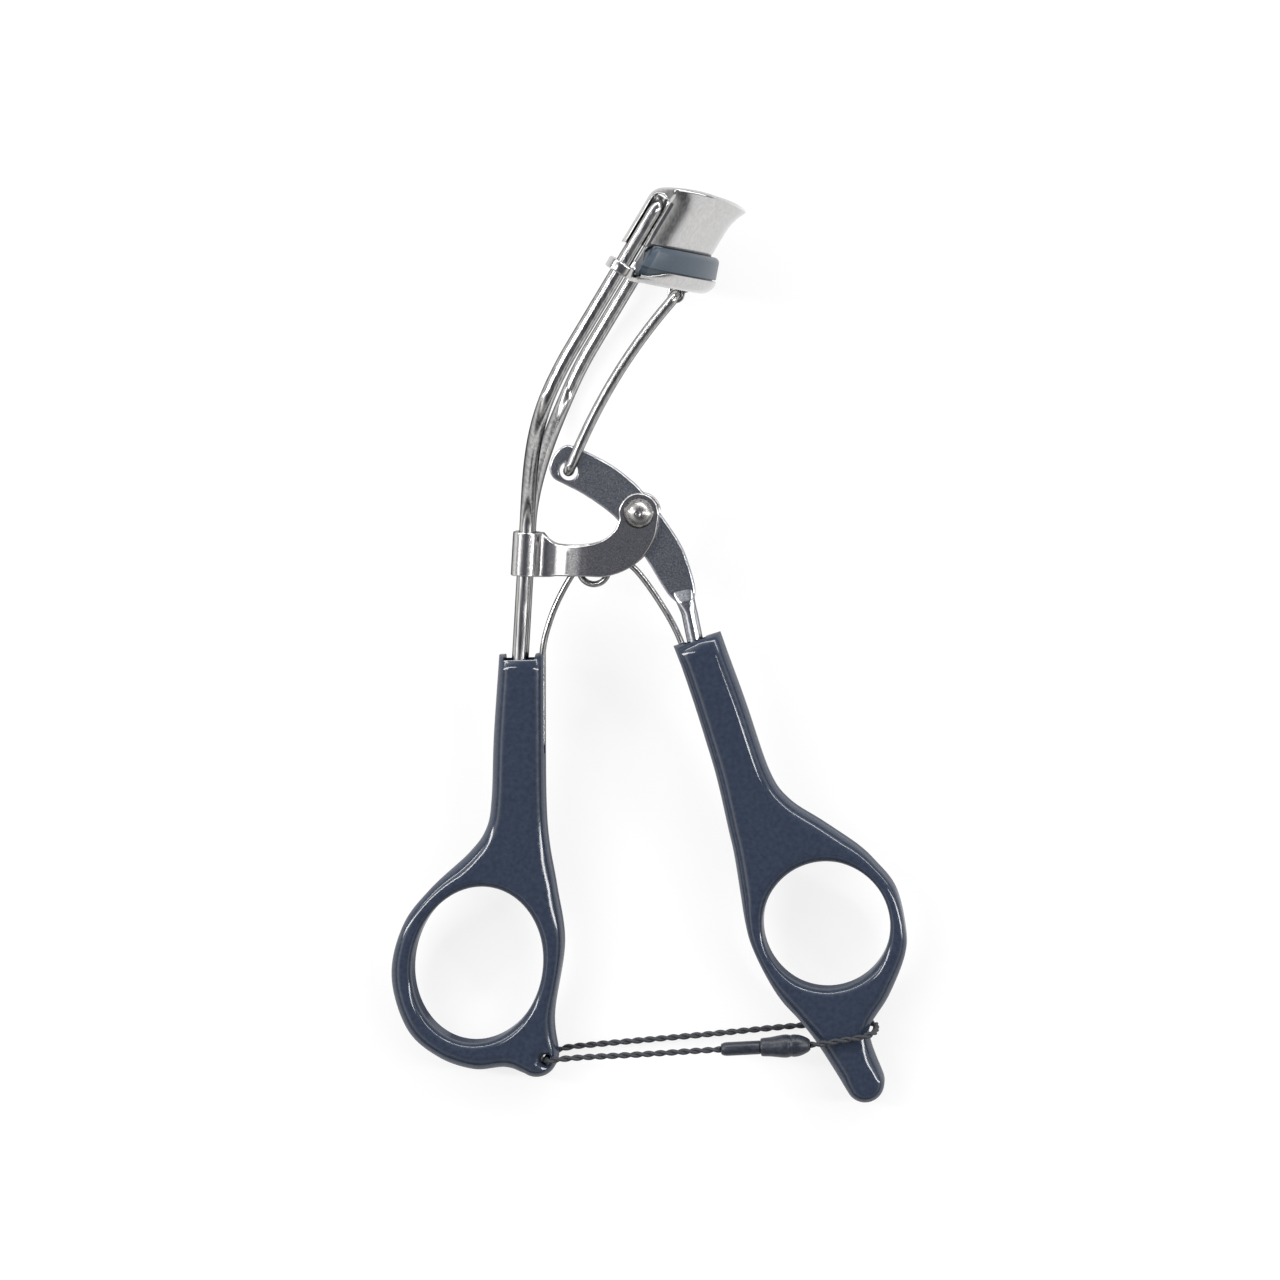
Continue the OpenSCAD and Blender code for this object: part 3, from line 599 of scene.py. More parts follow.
def inside(points, loops):
    """Whether each point is inside an odd number of the loops."""
    odd = np.zeros(len(points), bool)
    for loop in loops:
        a, b = np.asarray(loop), np.roll(loop, -1, 0)
        for (ax, ay), (bx, by) in zip(a, b):
            if ay != by:
                crosses = (ay > points[:, 1]) != (by > points[:, 1])
                odd ^= crosses & (points[:, 0] < ax + (points[:, 1] - ay) * (bx - ax) / (by - ay))
    return odd


def round_part(centre, r, a0, a1, n):
    """Points on a circle from one angle to another."""
    a = np.radians(np.linspace(a0, a1, n))
    return np.asarray(centre) + r * np.column_stack([np.cos(a), np.sin(a)])


def on_circle(centre, r, angle):
    return tuple(round_part(centre, r, angle, angle, 1)[0])


def flat_curve(points, steps):
    """A smooth curve through points of the plane."""
    return smooth_line([(x, y, 0) for x, y in points], steps)[:, :2]


square = np.array([(0, 0), (1, 0), (1, 1), (0, 1)], float)
print("a square's first corner moves out by", outward(square)[0])


# %% Edges and flats
def edge_rows(loop, r, thickness, steps):
    """The rows of points and normals that round a loop's edge, from the front to the back."""
    step = outward(loop)
    unit = step / np.linalg.norm(step, axis=1, keepdims=True)
    quarter = np.linspace(0, math.pi / 2, steps + 1)
    points, normals = [], []
    for a, side in [(a, 1) for a in quarter] + [(a, -1) for a in quarter[::-1]]:
        z = side * (thickness / 2 - r + r * math.cos(a))
        points.append(np.column_stack([loop + step * (r * (math.sin(a) - 1))[:, None], z]))
        normals.append(np.column_stack([unit * math.sin(a), np.full(len(loop), side * math.cos(a))]))
    return points, normals


def grid_spots(outline, grid, clear=0.35):
    """Points of a grid that are inside an outline and clear of it by a part of a grid step."""
    lo, hi = outline[0].min(0), outline[0].max(0)
    xs, ys = np.arange(lo[0], hi[0], grid[0]), np.arange(lo[1], hi[1], grid[1])
    spots = np.array([(x, y) for x in xs for y in ys]) + np.array(grid) / 2
    spots = spots[inside(spots, outline)]
    edge = np.vstack(outline)
    near = np.array([np.abs((edge - s) / np.array(grid)).max(1).min() for s in spots])
    return spots[near > clear]


def filled(outline, spots):
    """Triangles over an outline with holes and the spots in it, as numbers of its points."""
    edges, at = [], 0
    for ring in outline:
        edges += [(at + k, at + (k + 1) % len(ring)) for k in range(len(ring))]
        at += len(ring)
    corners = [Vector(c) for c in np.vstack([*outline, spots])]
    places, _, triangles, origin, *_ = delaunay_2d_cdt(corners, edges, [], 0, 1e-7)
    places = np.array([tuple(c) for c in places])
    middle = np.array([places[list(t)].mean(0) for t in triangles])
    kept = inside(middle, outline)
    return [[origin[i][0] for i in t] for t, keep in zip(triangles, kept) if keep]


print("a square is filled by", len(filled([square], np.zeros((0, 2)))), "triangles")


# %% Blanks with rounded edges
def blank(loops, thickness, radii, steps=4, grid=None):
    """Points, normals and faces of a plate with rounded edges. Holes run clockwise.

    A radius is one number for a loop, or one for each of its points. A grid gives the flats
    enough points to be bent.
    """
    points, normals, faces, rims = [], [], [], ([], [])
    start, rows = 0, 2 * (steps + 1)
    for loop, r in zip(loops, radii):
        loop = np.asarray(loop, float)
        m = len(loop)
        each_r = np.broadcast_to(np.asarray(r, float), m)
        row_points, row_normals = edge_rows(loop, each_r, thickness, steps)
        points += row_points
        normals += row_normals
        for i in range(rows - 1):
            for k in range(m):
                a, b = start + i * m + k, start + i * m + (k + 1) % m
                faces.append((a, a + m, b + m, b))
        rims[0].append(np.arange(start, start + m))
        rims[1].append(np.arange(start, start + m) + (rows - 1) * m)
        start += rows * m
    flat = np.vstack(points)
    for side, rings in zip((1, -1), rims):
        outline = [flat[ring, :2] for ring in rings]
        spots = grid_spots(outline, grid) if grid else np.zeros((0, 2))
        ids = [*np.concatenate(rings), *range(start, start + len(spots))]
        start += len(spots)
        points.append(np.column_stack([spots, np.full(len(spots), side * thickness / 2)]))
        normals.append(np.tile([0, 0, side], (len(spots), 1)))
        faces += [tuple(int(ids[i]) for i in t[::side]) for t in filled(outline, spots)]
    return np.vstack(points), np.vstack(normals).astype(float), faces


def bent(points, normals, how, lift=0.002):
    """A blank carried by a bend, with its normals."""
    moved = how(points)
    lifted = how(points + normals * lift) - moved
    return moved, lifted / np.linalg.norm(lifted, axis=1, keepdims=True)


print("blank of a square:", len(blank([square], 0.4, [0.1])[0]), "points")


# %% Skins
def joined(*parts):
    """Several (points, faces) as one."""
    points, faces, start = [], [], 0
    for p, f in parts:
        points.append(np.asarray(p, float))
        faces += [tuple(i + start for i in face) for face in f]
        start += len(p)
    return np.vstack(points), faces


def facing_out(points, faces):
    """The same faces, turned round if they enclose a negative volume."""
    p = np.asarray(points)
    volume = sum(
        np.dot(p[f[0]], np.cross(p[f[k]], p[f[k + 1]])) for f in faces for k in range(1, len(f) - 1)
    )
    return faces if volume > 0 else [tuple(reversed(f)) for f in faces]


def loft(rings, carry=None, caps=True):
    """A skin over a stack of equal rings, carried to its place and facing out."""
    rings = np.asarray(rings, float)
    count, m = rings.shape[:2]
    faces = [
        (i * m + k, (i + 1) * m + k, (i + 1) * m + (k + 1) % m, i * m + (k + 1) % m)
        for i in range(count - 1) for k in range(m)
    ]
    if caps:
        faces += [tuple(range(m)), tuple(reversed(range((count - 1) * m, count * m)))]
    points = rings.reshape(-1, 3)
    if carry:
        points = carry(points)
    return points, facing_out(points, faces)


cube = loft([[(x, y, z) for x, y in square] for z in (0, 1)])
print("a skin over two squares has", len(cube[1]), "faces")


# %% Mesh objects
def dressed(name, points, faces, material, normals=None, crease=None):
    """A mesh object from tool millimetres."""
    mesh = bpy.data.meshes.new(name)
    mesh.from_pydata(on_table(points).tolist(), [], [tuple(int(i) for i in f) for f in faces])
    mesh.validate()
    mesh.materials.append(material)
    mesh.polygons.foreach_set("use_smooth", [True] * len(mesh.polygons))
    if normals is not None:
        mesh.normals_split_custom_set_from_vertices((np.asarray(normals) @ tool_axes).tolist())
    elif crease:
        mesh.set_sharp_from_angle(angle=math.radians(crease))
    return in_scene(name, mesh)


def kept_normals(obj, normals):
    """The exact normals on the first points of a mesh, and its own on the rest."""
    turned = np.asarray(normals) @ tool_axes
    own = [tuple(n.vector) for n in obj.data.corner_normals]
    obj.data.normals_split_custom_set([
        tuple(turned[loop.vertex_index]) if loop.vertex_index < len(turned) else own[loop.index]
        for loop in obj.data.loops
    ])
    return obj


def put(obj, body, slot_name, *nodes):
    """Hand a piece to the frame: what it rides on and the node that it stands for. slot_name, its
    finish's name, is not used.
    """
    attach(obj, body)
    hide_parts(*nodes)
    print(obj.name, "for", ", ".join(nodes), len(obj.data.polygons), "faces")
    return obj


print("pieces will stand for", len(frame["nodes"]), "nodes")

# %% [markdown]
# ## Handles
# Each handle is a moulded plate with a finger hole, soft edges and sockets at its top. A box
# with a Subdivision Surface would bulge, and these faces are flat, so each is a blank whose
# outline is a curve through a few points. Its edge radius is smaller where the ring is narrow.

# %% Handle outlines
handle_t, curve_steps, inset = 7.0, 10, 0.03
lug_centre, lug_r = np.array([-16.6, -87.2]), 3.4
tail_centre, tail_r = np.array([36.1, -91]), 3.1
finger_outline = np.vstack([
    flat_curve([
        (-22.5, -22.7), (-23.4, -35.6), (-23.8, -45.9), (-24.7, -50.7), (-27.5, -54.6),
        (-33.7, -60.4), (-38.1, -66.3), (-40, -74.5), (-37.5, -83.1), (-32.4, -87.6),
        (-26.7, -89.5), (-21.7, -89.1), on_circle(lug_centre, lug_r, 235),
    ], curve_steps),
    round_part(lug_centre, lug_r, 243, 357, 20),
    flat_curve([
        on_circle(lug_centre, lug_r, 8), (-13.8, -80.2), (-12.2, -69), (-13.4, -60.1),
        (-14.6, -53.2), (-15.1, -46.7), (-15.2, -35.2), (-15.2, -22.5),
    ], curve_steps),
])
finger_outline = np.delete(finger_outline, [1, len(finger_outline) - 2], 0)
thumb_outline = np.vstack([
    [(5.4, -21.2)],
    flat_curve([
        (6.7, -24.5), (8.6, -30.1), (10.4, -35.8), (12.3, -42.2), (14.2, -50.5), (15.2, -55),
        (16.9, -65.2), (18.5, -70.3), (22.1, -77.1), (25.5, -81), (28.6, -85),
        on_circle(tail_centre, tail_r, 217),
    ], curve_steps),
    round_part(tail_centre, tail_r, 226, 368, 21),
    flat_curve([
        on_circle(tail_centre, tail_r, 19), (37, -84.5), (37, -81.7), (39.9, -76.9),
        (42.4, -70.5), (42.5, -66.2), (40.9, -59.8), (37.6, -55.6), (34.5, -52.7),
        (29.3, -49.2), (23.9, -45.7), (20.7, -41.2), (16.9, -30.2), (13.9, -22),
    ], curve_steps),
    [(12.8, -18.9)],
])
finger_outline = finger_outline - inset * outward(finger_outline)
thumb_outline = thumb_outline - inset * outward(thumb_outline)
print("outlines", len(finger_outline), len(thumb_outline), "points")

# %% Finger holes and soft edges
finger_centre, finger_size, finger_lean = np.array([-26, -72.5]), (10.5, 12.7), math.radians(-12)
thumb_centre, thumb_r = np.array([29.9, -65.6]), 10.2
edge_r, finger_edge_r, thumb_edge_r = 2.3, 1.3, 1.5
least_flat, outer_part, inner_part, end_part = 0.2, 0.6, 0.4, 0.55
a = np.linspace(0, -2 * math.pi, 96, endpoint=False)
oval = np.column_stack([finger_size[0] * np.cos(a), finger_size[1] * np.sin(a)])
c, s = math.cos(finger_lean), math.sin(finger_lean)
finger_hole = finger_centre + oval @ np.array([[c, s], [-s, c]])
thumb_hole = thumb_centre + thumb_r * np.column_stack([np.cos(a), np.sin(a)])


def ring_radii(outline, hole, inner, small_end):
    """Edge radii that leave a flat where the ring is narrow, and on the handle's small end."""
    apart = np.linalg.norm(outline[:, None] - hole[None], axis=2)
    outer = np.minimum(edge_r, end_part * np.linalg.norm(outline - small_end, axis=1))
    return [
        np.minimum(outer, outer_part * (apart.min(1) - least_flat)),
        np.minimum(inner, inner_part * (apart.min(0) - least_flat)),
    ]


finger_radii = ring_radii(finger_outline, finger_hole, finger_edge_r, lug_centre)
thumb_radii = ring_radii(thumb_outline, thumb_hole, thumb_edge_r, tail_centre)
print("least edge radius", round(float(thumb_radii[0].min()), 2))

# %% [markdown]
# ## Sockets and holes
# The wires, the tang, the spring's legs and the cord go into holes that the mould leaves in the
# handles. They pass through the rounded edge, where an outline can't show them, so each is cut
# by a Boolean with a plain tool: a round bar, a turned bar or a brick. A Boolean spoils the
# shading round a cut, so afterwards the blank's own normals go back on every corner that the
# cut left alone.


# %% Cutting tools
def round_bar(start, end, r, sides=40):
    """A closed round bar between two points."""
    start, end = np.asarray(start, float), np.asarray(end, float)
    along = (end - start) / np.linalg.norm(end - start)
    side = np.cross(along, [0.3, 0.2, 0.9])
    side /= np.linalg.norm(side)
    a = np.linspace(0, 2 * math.pi, sides, endpoint=False)[:, None]
    ring = r * (np.cos(a) * side + np.sin(a) * np.cross(along, side))
    return loft([start + ring, end + ring])


def turned_bar(profile, centre, sides=48):
    """A closed solid turned about z from (radius, height) points on its outside, low to high."""
    a = np.linspace(0, 2 * math.pi, sides, endpoint=False)
    return loft([
        [(centre[0] + r * math.cos(t), centre[1] + r * math.sin(t), z) for t in a] for r, z in profile
    ])


def brick(centre, size, turn):
    """A box turned about z."""
    c, s = math.cos(turn), math.sin(turn)
    h = np.array(size) / 2
    corners = ((-1, -1), (1, -1), (1, 1), (-1, 1))
    points, faces = loft([[(x * h[0], y * h[1], z * h[2]) for x, y in corners] for z in (-1, 1)])
    return points @ np.array([[c, s, 0], [-s, c, 0], [0, 0, 1]]) + centre, faces


print("a round tool has", len(round_bar((0, 0, 0), (0, 0, 1), 1)[1]), "faces")


# %% Cut
def spot(place):
    """A place in whole microns, to find the same point again."""
    return tuple(np.round(np.asarray(place) * 1e6).astype(int))


def without_slivers(mesh, sliver=1.5e-5):
    """Join points that a cut left too close together."""
    clean = bmesh.new()
    clean.from_mesh(mesh)
    bmesh.ops.remove_doubles(clean, verts=clean.verts, dist=sliver)
    bmesh.ops.dissolve_degenerate(clean, edges=clean.edges, dist=sliver)
    clean.to_mesh(mesh)
    clean.free()


def cut(name, flat, material, tools):
    """A blank less its tools. Untouched corners keep the blank's normals."""
    points, normals, faces = flat
    obj = dressed(name, points, faces, material)
    cutters = [dressed(f"{name}_tool_{k}", *tool, material) for k, tool in enumerate(tools)]
    for cutter in cutters:
        modifier = obj.modifiers.new("cut", "BOOLEAN")
        modifier.operation, modifier.solver, modifier.object = "DIFFERENCE", "EXACT", cutter
    bpy.context.view_layer.update()
    whole = bpy.context.evaluated_depsgraph_get()
    mesh = bpy.data.meshes.new_from_object(obj.evaluated_get(whole))
    obj.modifiers.clear()
    for cutter in cutters:
        bpy.data.objects.remove(cutter)
    without_slivers(mesh)
    known = {spot(p): n for p, n in zip(on_table(points), np.asarray(normals) @ tool_axes)}
    corner_normals = []
    for face in mesh.polygons:
        own = np.array(face.normal)
        for i in face.vertices:
            kept = known.get(spot(mesh.vertices[i].co))
            corner_normals.append(tuple(kept if kept is not None and kept @ own > 0.5 else own))
    mesh.polygons.foreach_set("use_smooth", [True] * len(mesh.polygons))
    mesh.normals_split_custom_set(corner_normals)
    obj.data = mesh
    print(name, "cut by", len(tools), "tools")
    return obj


# %% Finger handle
shank_lean = math.radians(3.4)
shank_dir = np.array([math.sin(shank_lean), math.cos(shank_lean)])
wire_corner, shank_len, shank_bare = np.array([-17.02, 13.4]), 51.8, 30
shank_low = wire_corner - shank_len * shank_dir
socket_top = wire_corner - shank_bare * shank_dir
socket_r, shank_z = 1.3, 1.5
cord_hole, cord_hole_r, mouth_r, mouth_z, past_face = np.array([-15, -87.7]), 0.85, 1.3, 3.5, 5
mouth = [
    (mouth_r * (1 - math.sin(t)), mouth_z - mouth_r + mouth_r * math.cos(t))
    for t in np.linspace(math.pi / 2, 0, 7)
]
hole_side = [(cord_hole_r + r, z) for r, z in mouth] + [(cord_hole_r + mouth_r, past_face)]
finger_tools = [
    turned_bar([(r, -z) for r, z in reversed(hole_side)] + hole_side, cord_hole),
    *[round_bar((*socket_top, z), (*shank_low, z), socket_r) for z in (shank_z, -shank_z)],
    brick((-19.15, -22.9, 0), (5.0, 2.6, 5.8), -shank_lean),
    brick((-15, -30, 0.88), (1.6, 17, 1.5), 0),
]
edge_steps = 6
finger_blank = blank([finger_outline, finger_hole], handle_t, finger_radii, edge_steps)
finger_grip = cut("finger_grip", finger_blank, black_moulding, finger_tools)
put(finger_grip, "frame", "black_plastic", "finger_handle")

# %% Thumb handle
tang_lean = math.radians(11.5)
tang_top = np.array([7.55, -14.2, 0])
tang_dir = np.array([math.sin(tang_lean), -math.cos(tang_lean), 0])
tang_hole_from, tang_hole_to, tang_hole_r = tang_top + 2 * tang_dir, tang_top + 10.4 * tang_dir, 1.4
thumb_tools = [
    round_bar(tang_hole_from, tang_hole_to, tang_hole_r),
    brick((7.4, -26.5, -0.88), (1.7, 15, 1.5), math.radians(17.5)),
    brick((8.9, -20.3, 0), (3.6, 1.6, 4.2), math.radians(16)),
]
thumb_blank = blank([thumb_outline, thumb_hole], handle_t, thumb_radii, edge_steps)
thumb_grip = cut("thumb_grip", thumb_blank, black_moulding, thumb_tools)
put(thumb_grip, "lever", "black_plastic", "thumb_handle")

# %% [markdown]
# ## Frame wires
# Two drawn wires carry the tool: each rises from the finger handle, bends towards the eye and
# opens out to the jaw's width. A curve's own bevel would do, but its end is flat. So Geometry
# Nodes sweep a circle along each route, and the circle shrinks over the last points, which
# gives the wire its rounded tip. The push link and the spring use the same tree.


# %% Wire sweep
def wire_tree():
    tree, given, out, ids = geometry_tree("drawn_wire", [
        ("Radius", "NodeSocketFloat", 0.001), ("Sides", "NodeSocketInt", 32),
        ("Material", "NodeSocketMaterial", None),
    ])
    ring = node(tree, "GeometryNodeCurvePrimitiveCircle", [
        ("Radius", given.outputs["Radius"]), ("Resolution", given.outputs["Sides"]),
    ])
    shrink = node(tree, "GeometryNodeInputRadius")
    tube = node(tree, "GeometryNodeCurveToMesh", [
        ("Curve", given.outputs["Geometry"]), ("Profile Curve", ring.outputs[0]),
        ("Scale", shrink.outputs[0]),
    ], Fill_Caps=True)
    end_tree(tree, given, out, tube.outputs[0])
    return tree, ids


drawn_wire, wire_ids = wire_tree()
wire_sides, least_tip = 36, 0.02


def swept_wire(name, points, d, material, tip):
    """A wire through tool points, whose far end is a dome as long as tip radii."""
    points = np.asarray(points, float)
    along = points[-1] - points[-2]
    along /= np.linalg.norm(along)
    rise = np.linspace(0, math.pi / 2, 9)[1:]
    end = points[-1] + np.outer(np.sin(rise) * tip * d / 2, along)
    route = route_object(name + "_line", on_table(np.vstack([points, end])))
    for point, a in zip(route.data.splines[0].points[len(points):], rise):
        point.radius = max(math.cos(a), least_tip)
    obj = baked(name, route, drawn_wire, {
        wire_ids["Radius"]: d / 2000, wire_ids["Sides"]: wire_sides, wire_ids["Material"]: material,
    })
    obj.data.set_sharp_from_angle(angle=math.radians(60))
    return obj


# %% Bent frame wires
wire_d, wire_span, shank_gap, bend_r, spread_end, long_tip = 2.4, 35.0, 3.0, 62.0, 19.6, 2.0
head_lean, head_len = math.radians(31.2), 39.5
head_dir = np.array([math.sin(head_lean), math.cos(head_lean)])
bend_reach = bend_r * math.tan((head_lean - shank_lean) / 2)
bend_start = wire_corner - bend_reach * shank_dir
bend_centre = bend_start + bend_r * np.array([shank_dir[1], -shank_dir[0]])
wire_tip = wire_corner + head_len * head_dir
bend = math.pi - np.linspace(shank_lean, head_lean, 73)
wire_line = np.vstack([
    shank_low, bend_centre + bend_r * np.column_stack([np.cos(bend), np.sin(bend)]), wire_tip,
])


def eased(t):
    """A smooth step from 0 to 1."""
    t = np.clip(t, 0, 1)
    return t * t * (3 - 2 * t)


opened = eased((wire_line[:, 1] - bend_start[1]) / (spread_end - bend_start[1]))
wire_z = (shank_gap + (wire_span - shank_gap) * opened) / 2
for name, side in (("near", 1), ("far", -1)):
    route = np.column_stack([wire_line, side * wire_z])
    wire = swept_wire(f"{name}_wire", route, wire_d, bright_wire, long_tip)
    put(wire, "frame", "chrome", f"frame_wire_{name}")

# %% [markdown]
# ## Push link
# The push link is a thinner wire that hooks into the lower jaw's lug and into the lever's hole,
# and bows a little between them. Its route is two quarter rounds and a shallow parabola, swept
# by the frame wires' tree. Curve handles could draw it too, but a parabola needs one number.

# %% Push link
link_high, link_low = np.array([5.805, 34.650]), np.array([-11.36, 6.63])
link_d, link_front, link_bow, hook_r, hook_tail, blunt = 1.7, 1.8, 1.3, 1.2, 3.9, 0.05
link_dir = (link_low - link_high) / np.linalg.norm(link_low - link_high)
link_side = np.array([link_dir[1], -link_dir[0]])
quarter = np.linspace(0, math.pi / 2, 9)


def hook(place, along):
    """A quarter round from a hole towards the front, where the link runs."""
    flat = place + hook_r * np.outer(1 - np.cos(quarter), along)
    return np.column_stack([flat, link_front - hook_r + hook_r * np.sin(quarter)])


reach = np.linalg.norm(link_high - link_low) - 2 * hook_r
part = np.linspace(0, 1, 40)[1:-1]
bowed = (link_high + np.outer(hook_r + reach * part, link_dir)
         + np.outer(4 * part * (1 - part) * link_bow, link_side))
rear = np.column_stack([
    np.full(len(quarter), link_low[0]), link_low[1] + hook_r * (1 - np.cos(quarter)),
    hook_r - link_front - hook_r * np.sin(quarter),
])
link_path = np.vstack([
    [(*link_high, -link_front)], hook(link_high, link_dir),
    np.column_stack([bowed, np.full(len(bowed), link_front)]),
    hook(link_low, -link_dir)[::-1], rear, [(link_low[0], link_low[1] + hook_tail, -link_front)],
])
put(swept_wire("bowed_link", link_path, link_d, bright_wire, blunt), "link", "chrome", "push_link")

# %% [markdown]
# ## Return spring
# The spring opens the handles: one open coil under the bracket, and a leg in each handle's
# groove. Its route is the legs' points with the coil's helix between them, smoothed together, so
# that the legs leave the coil without a kink. It is made in one piece.

# %% Return spring
coil, coil_r, coil_from, coil_turn, coil_pitch = np.array([-7.4, -9.1]), 2.35, 149, 419, 1.52
spring_d, coil_z = 1.0, coil_pitch * coil_turn / 720
left_leg = [
    (-15.6, -37), (-15.6, -30), (-15.6, -23.4), (-15.2, -20.2), (-14.4, -17.4), (-13.5, -15),
    (-12.4, -12.7), (-11.1, -10.4),
]
right_leg = [
    (-5.2, -6.9), (-3, -7.5), (-1, -8.9), (0.8, -11), (2.7, -13.7), (4.8, -17.1), (6.4, -20.4),
    (7.5, -23.6), (8.9, -28.4), (10.2, -32.5),
]
part = np.linspace(0, 1, 13)
wound = np.radians(coil_from - coil_turn * part)
spring_points = np.vstack([
    [(x, y, coil_z) for x, y in left_leg],
    np.column_stack([
        coil[0] + coil_r * np.cos(wound), coil[1] + coil_r * np.sin(wound), coil_z * (1 - 2 * part),
    ]),
    [(x, y, -coil_z) for x, y in right_leg],
])
spring_line = smooth_line(spring_points, 5)
spring = swept_wire("coiled_spring", spring_line, spring_d, spring_plate, blunt)
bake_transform(spring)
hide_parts("return_spring")
print("spring", len(spring.data.polygons), "faces")

# %% [markdown]
# ## Upper jaw
# The upper jaw is one stamped plate. It is cut flat with a curved top edge, rolled to an arch,
# flared outwards at the top, and its two ends are rolled round the wires' tips. A Simple Deform
# modifier bends a mesh too, but it can't flare and crown it, so the plate is a blank that is
# carried by its own bend. Two frames help: the head's, which stands on the wires, and the jaw's,
# which is tilted like the plate's lower edge.

# %% Head and jaw frames
arch_r, arch_v, plate_low, sheet_t = 20.2, -31.589, 40.25, 0.9
jaw_r, jaw_slope, wire_v = 19.611, math.radians(20), -21.5
wire_x = wire_v - arch_v
jaw_turn = math.asin(wire_span / 2 / jaw_r)


def in_head(p):
    """Head coordinates, with z up the wires and the arch's axis at x = 0, to tool coordinates."""
    p = np.asarray(p, float)
    v, u = p[:, 0] + arch_v, p[:, 2]
    c, s = math.cos(head_lean), math.sin(head_lean)
    return np.column_stack([v * c + u * s, -v * s + u * c, -p[:, 1]])


def in_jaw(p):
    """Jaw coordinates, whose z = 0 plane holds the upper jaw's lower edge, to tool coordinates."""
    p = np.asarray(p, float)
    x, z = p[:, 0] - jaw_r, p[:, 2]
    c, s = math.cos(jaw_slope), math.sin(jaw_slope)
    return in_head(np.column_stack([x * c - z * s + arch_r, p[:, 1], x * s + z * c + plate_low]))


print("wires at", round(wire_x, 3), "jaw turns", round(math.degrees(jaw_turn), 1), "degrees")

# %% Arched plate
plate_mid, flare_from, flare_r = arch_r - sheet_t / 2, 45.05, 8.93
crown_x, crown_z, crown_r = 20.8, 28.9, 21
foot_fall, foot_gap, crown_gap, plate_grid = 0.364, 0.1, 0.24, (1.1, 0.9)


def arched(p):
    """A flat plate (length round the arch, height, depth) rolled and flared in the head."""
    a = np.maximum(p[:, 1] - flare_from, 0) / flare_r
    r = plate_mid + flare_r * (1 - np.cos(a)) + p[:, 2] * np.cos(a)
    z = np.minimum(p[:, 1], flare_from) + flare_r * np.sin(a) - p[:, 2] * np.sin(a)
    turn = p[:, 0] / plate_mid
    return np.column_stack([r * np.cos(turn), r * np.sin(turn), z])


def crown_height(s):
    """The height along the plate where it meets the crowned top edge."""
    low, high = 42.0, 53.0
    for _ in range(40):
        h = (low + high) / 2
        x, _, z = arched(np.array([[s, h, 0.0]]))[0]
        above = z > crown_z + math.sqrt(crown_r**2 - (x - crown_x) ** 2)
        low, high = (low, h) if above else (h, high)
    return h


end_gap = 1.2
half = plate_mid * math.acos(wire_x / arch_r) - end_gap
across = np.linspace(-half, half, 61)
foot = [
    (s, plate_low - foot_fall * (arch_r - plate_mid * math.cos(s / plate_mid)) + foot_gap)
    for s in across
]
crown = [(s, crown_height(s) - crown_gap) for s in across[::-1]]
flat = blank([foot + crown], sheet_t, [0.3], 4, plate_grid)
plate_points, plate_normals = bent(flat[0], flat[1], lambda p: in_head(arched(p)))
plate_faces = flat[2]
print("plate", round(2 * half, 1), "mm round the arch,", len(plate_faces), "faces")

# %% [markdown]
# ## Rolled ends
# The plate's ends are rolled round the wires. A curl of the same blank would be one long bend
# with a tight radius, and its folds would show, so each end is two simple shapes instead: a
# face with a slot for the wire, and a half pipe behind it. The face falls away from the wire on
# all sides, which darkens it as it turns.

# %% Face of a rolled end
slot_z, slot_r, corner_x, corner_z, corner_r = 44.2, 1.27, 10.9, 44.12, 2.8
face_left, slot_left, slot_right, face_right, corner_end = 8.1, 8.82, 11.36, 11.98, 9.38
face_t, face_back, face_high, face_fall, face_grid = 0.95, 0.475, 0.9, 1.1, (0.3, 0.3)
rolled_crown_z, rolled_gap = 28.85, 0.05


def low_at(x):
    """The height of a rolled end's lower edge."""
    return plate_low - foot_fall * (arch_r - x) + rolled_gap


def top_at(x):
    """The height of the crowned top edge over a rolled end."""
    crown = rolled_crown_z + np.sqrt(crown_r**2 - (x - crown_x) ** 2)
    rounded = corner_z + np.sqrt(np.maximum(corner_r**2 - (x - corner_x) ** 2, 0))
    return np.where(x < corner_end, rounded, crown)


def rolled_over(p):
    """The depth of a rolled end's face, which falls away from the wire on all sides."""
    r = np.hypot(p[:, 0] - wire_x, np.maximum(p[:, 1] - slot_z, 0))
    return face_high - face_fall * (r - slot_r)


left_corner = [
    (corner_x + corner_r * math.cos(t), corner_z + corner_r * math.sin(t))
    for t in np.radians(np.linspace(180, 124, 12))
]
slot_top = [
    (wire_x + slot_r * math.cos(t), slot_z + slot_r * math.sin(t)) for t in np.linspace(math.pi, 0, 25)
]
face_outline = (
    [(x, low_at(x)) for x in (face_left, slot_left)] + slot_top
    + [(x, low_at(x)) for x in (slot_right, face_right)]
    + [(x, float(top_at(x))) for x in (face_right, *np.linspace(11.5, 9.45, 9))] + left_corner[::-1]
)
p, _, face_faces = blank([face_outline], face_t, [0.3], 4, face_grid)
face_y = wire_span / 2 + rolled_over(p) - face_back + p[:, 2]
ends = []
for side in (1, -1):
    points = in_head(np.column_stack([p[:, 0], side * face_y, p[:, 1]]))
    ends.append((points, facing_out(points, face_faces)))
print("rolled face", len(face_faces), "faces")

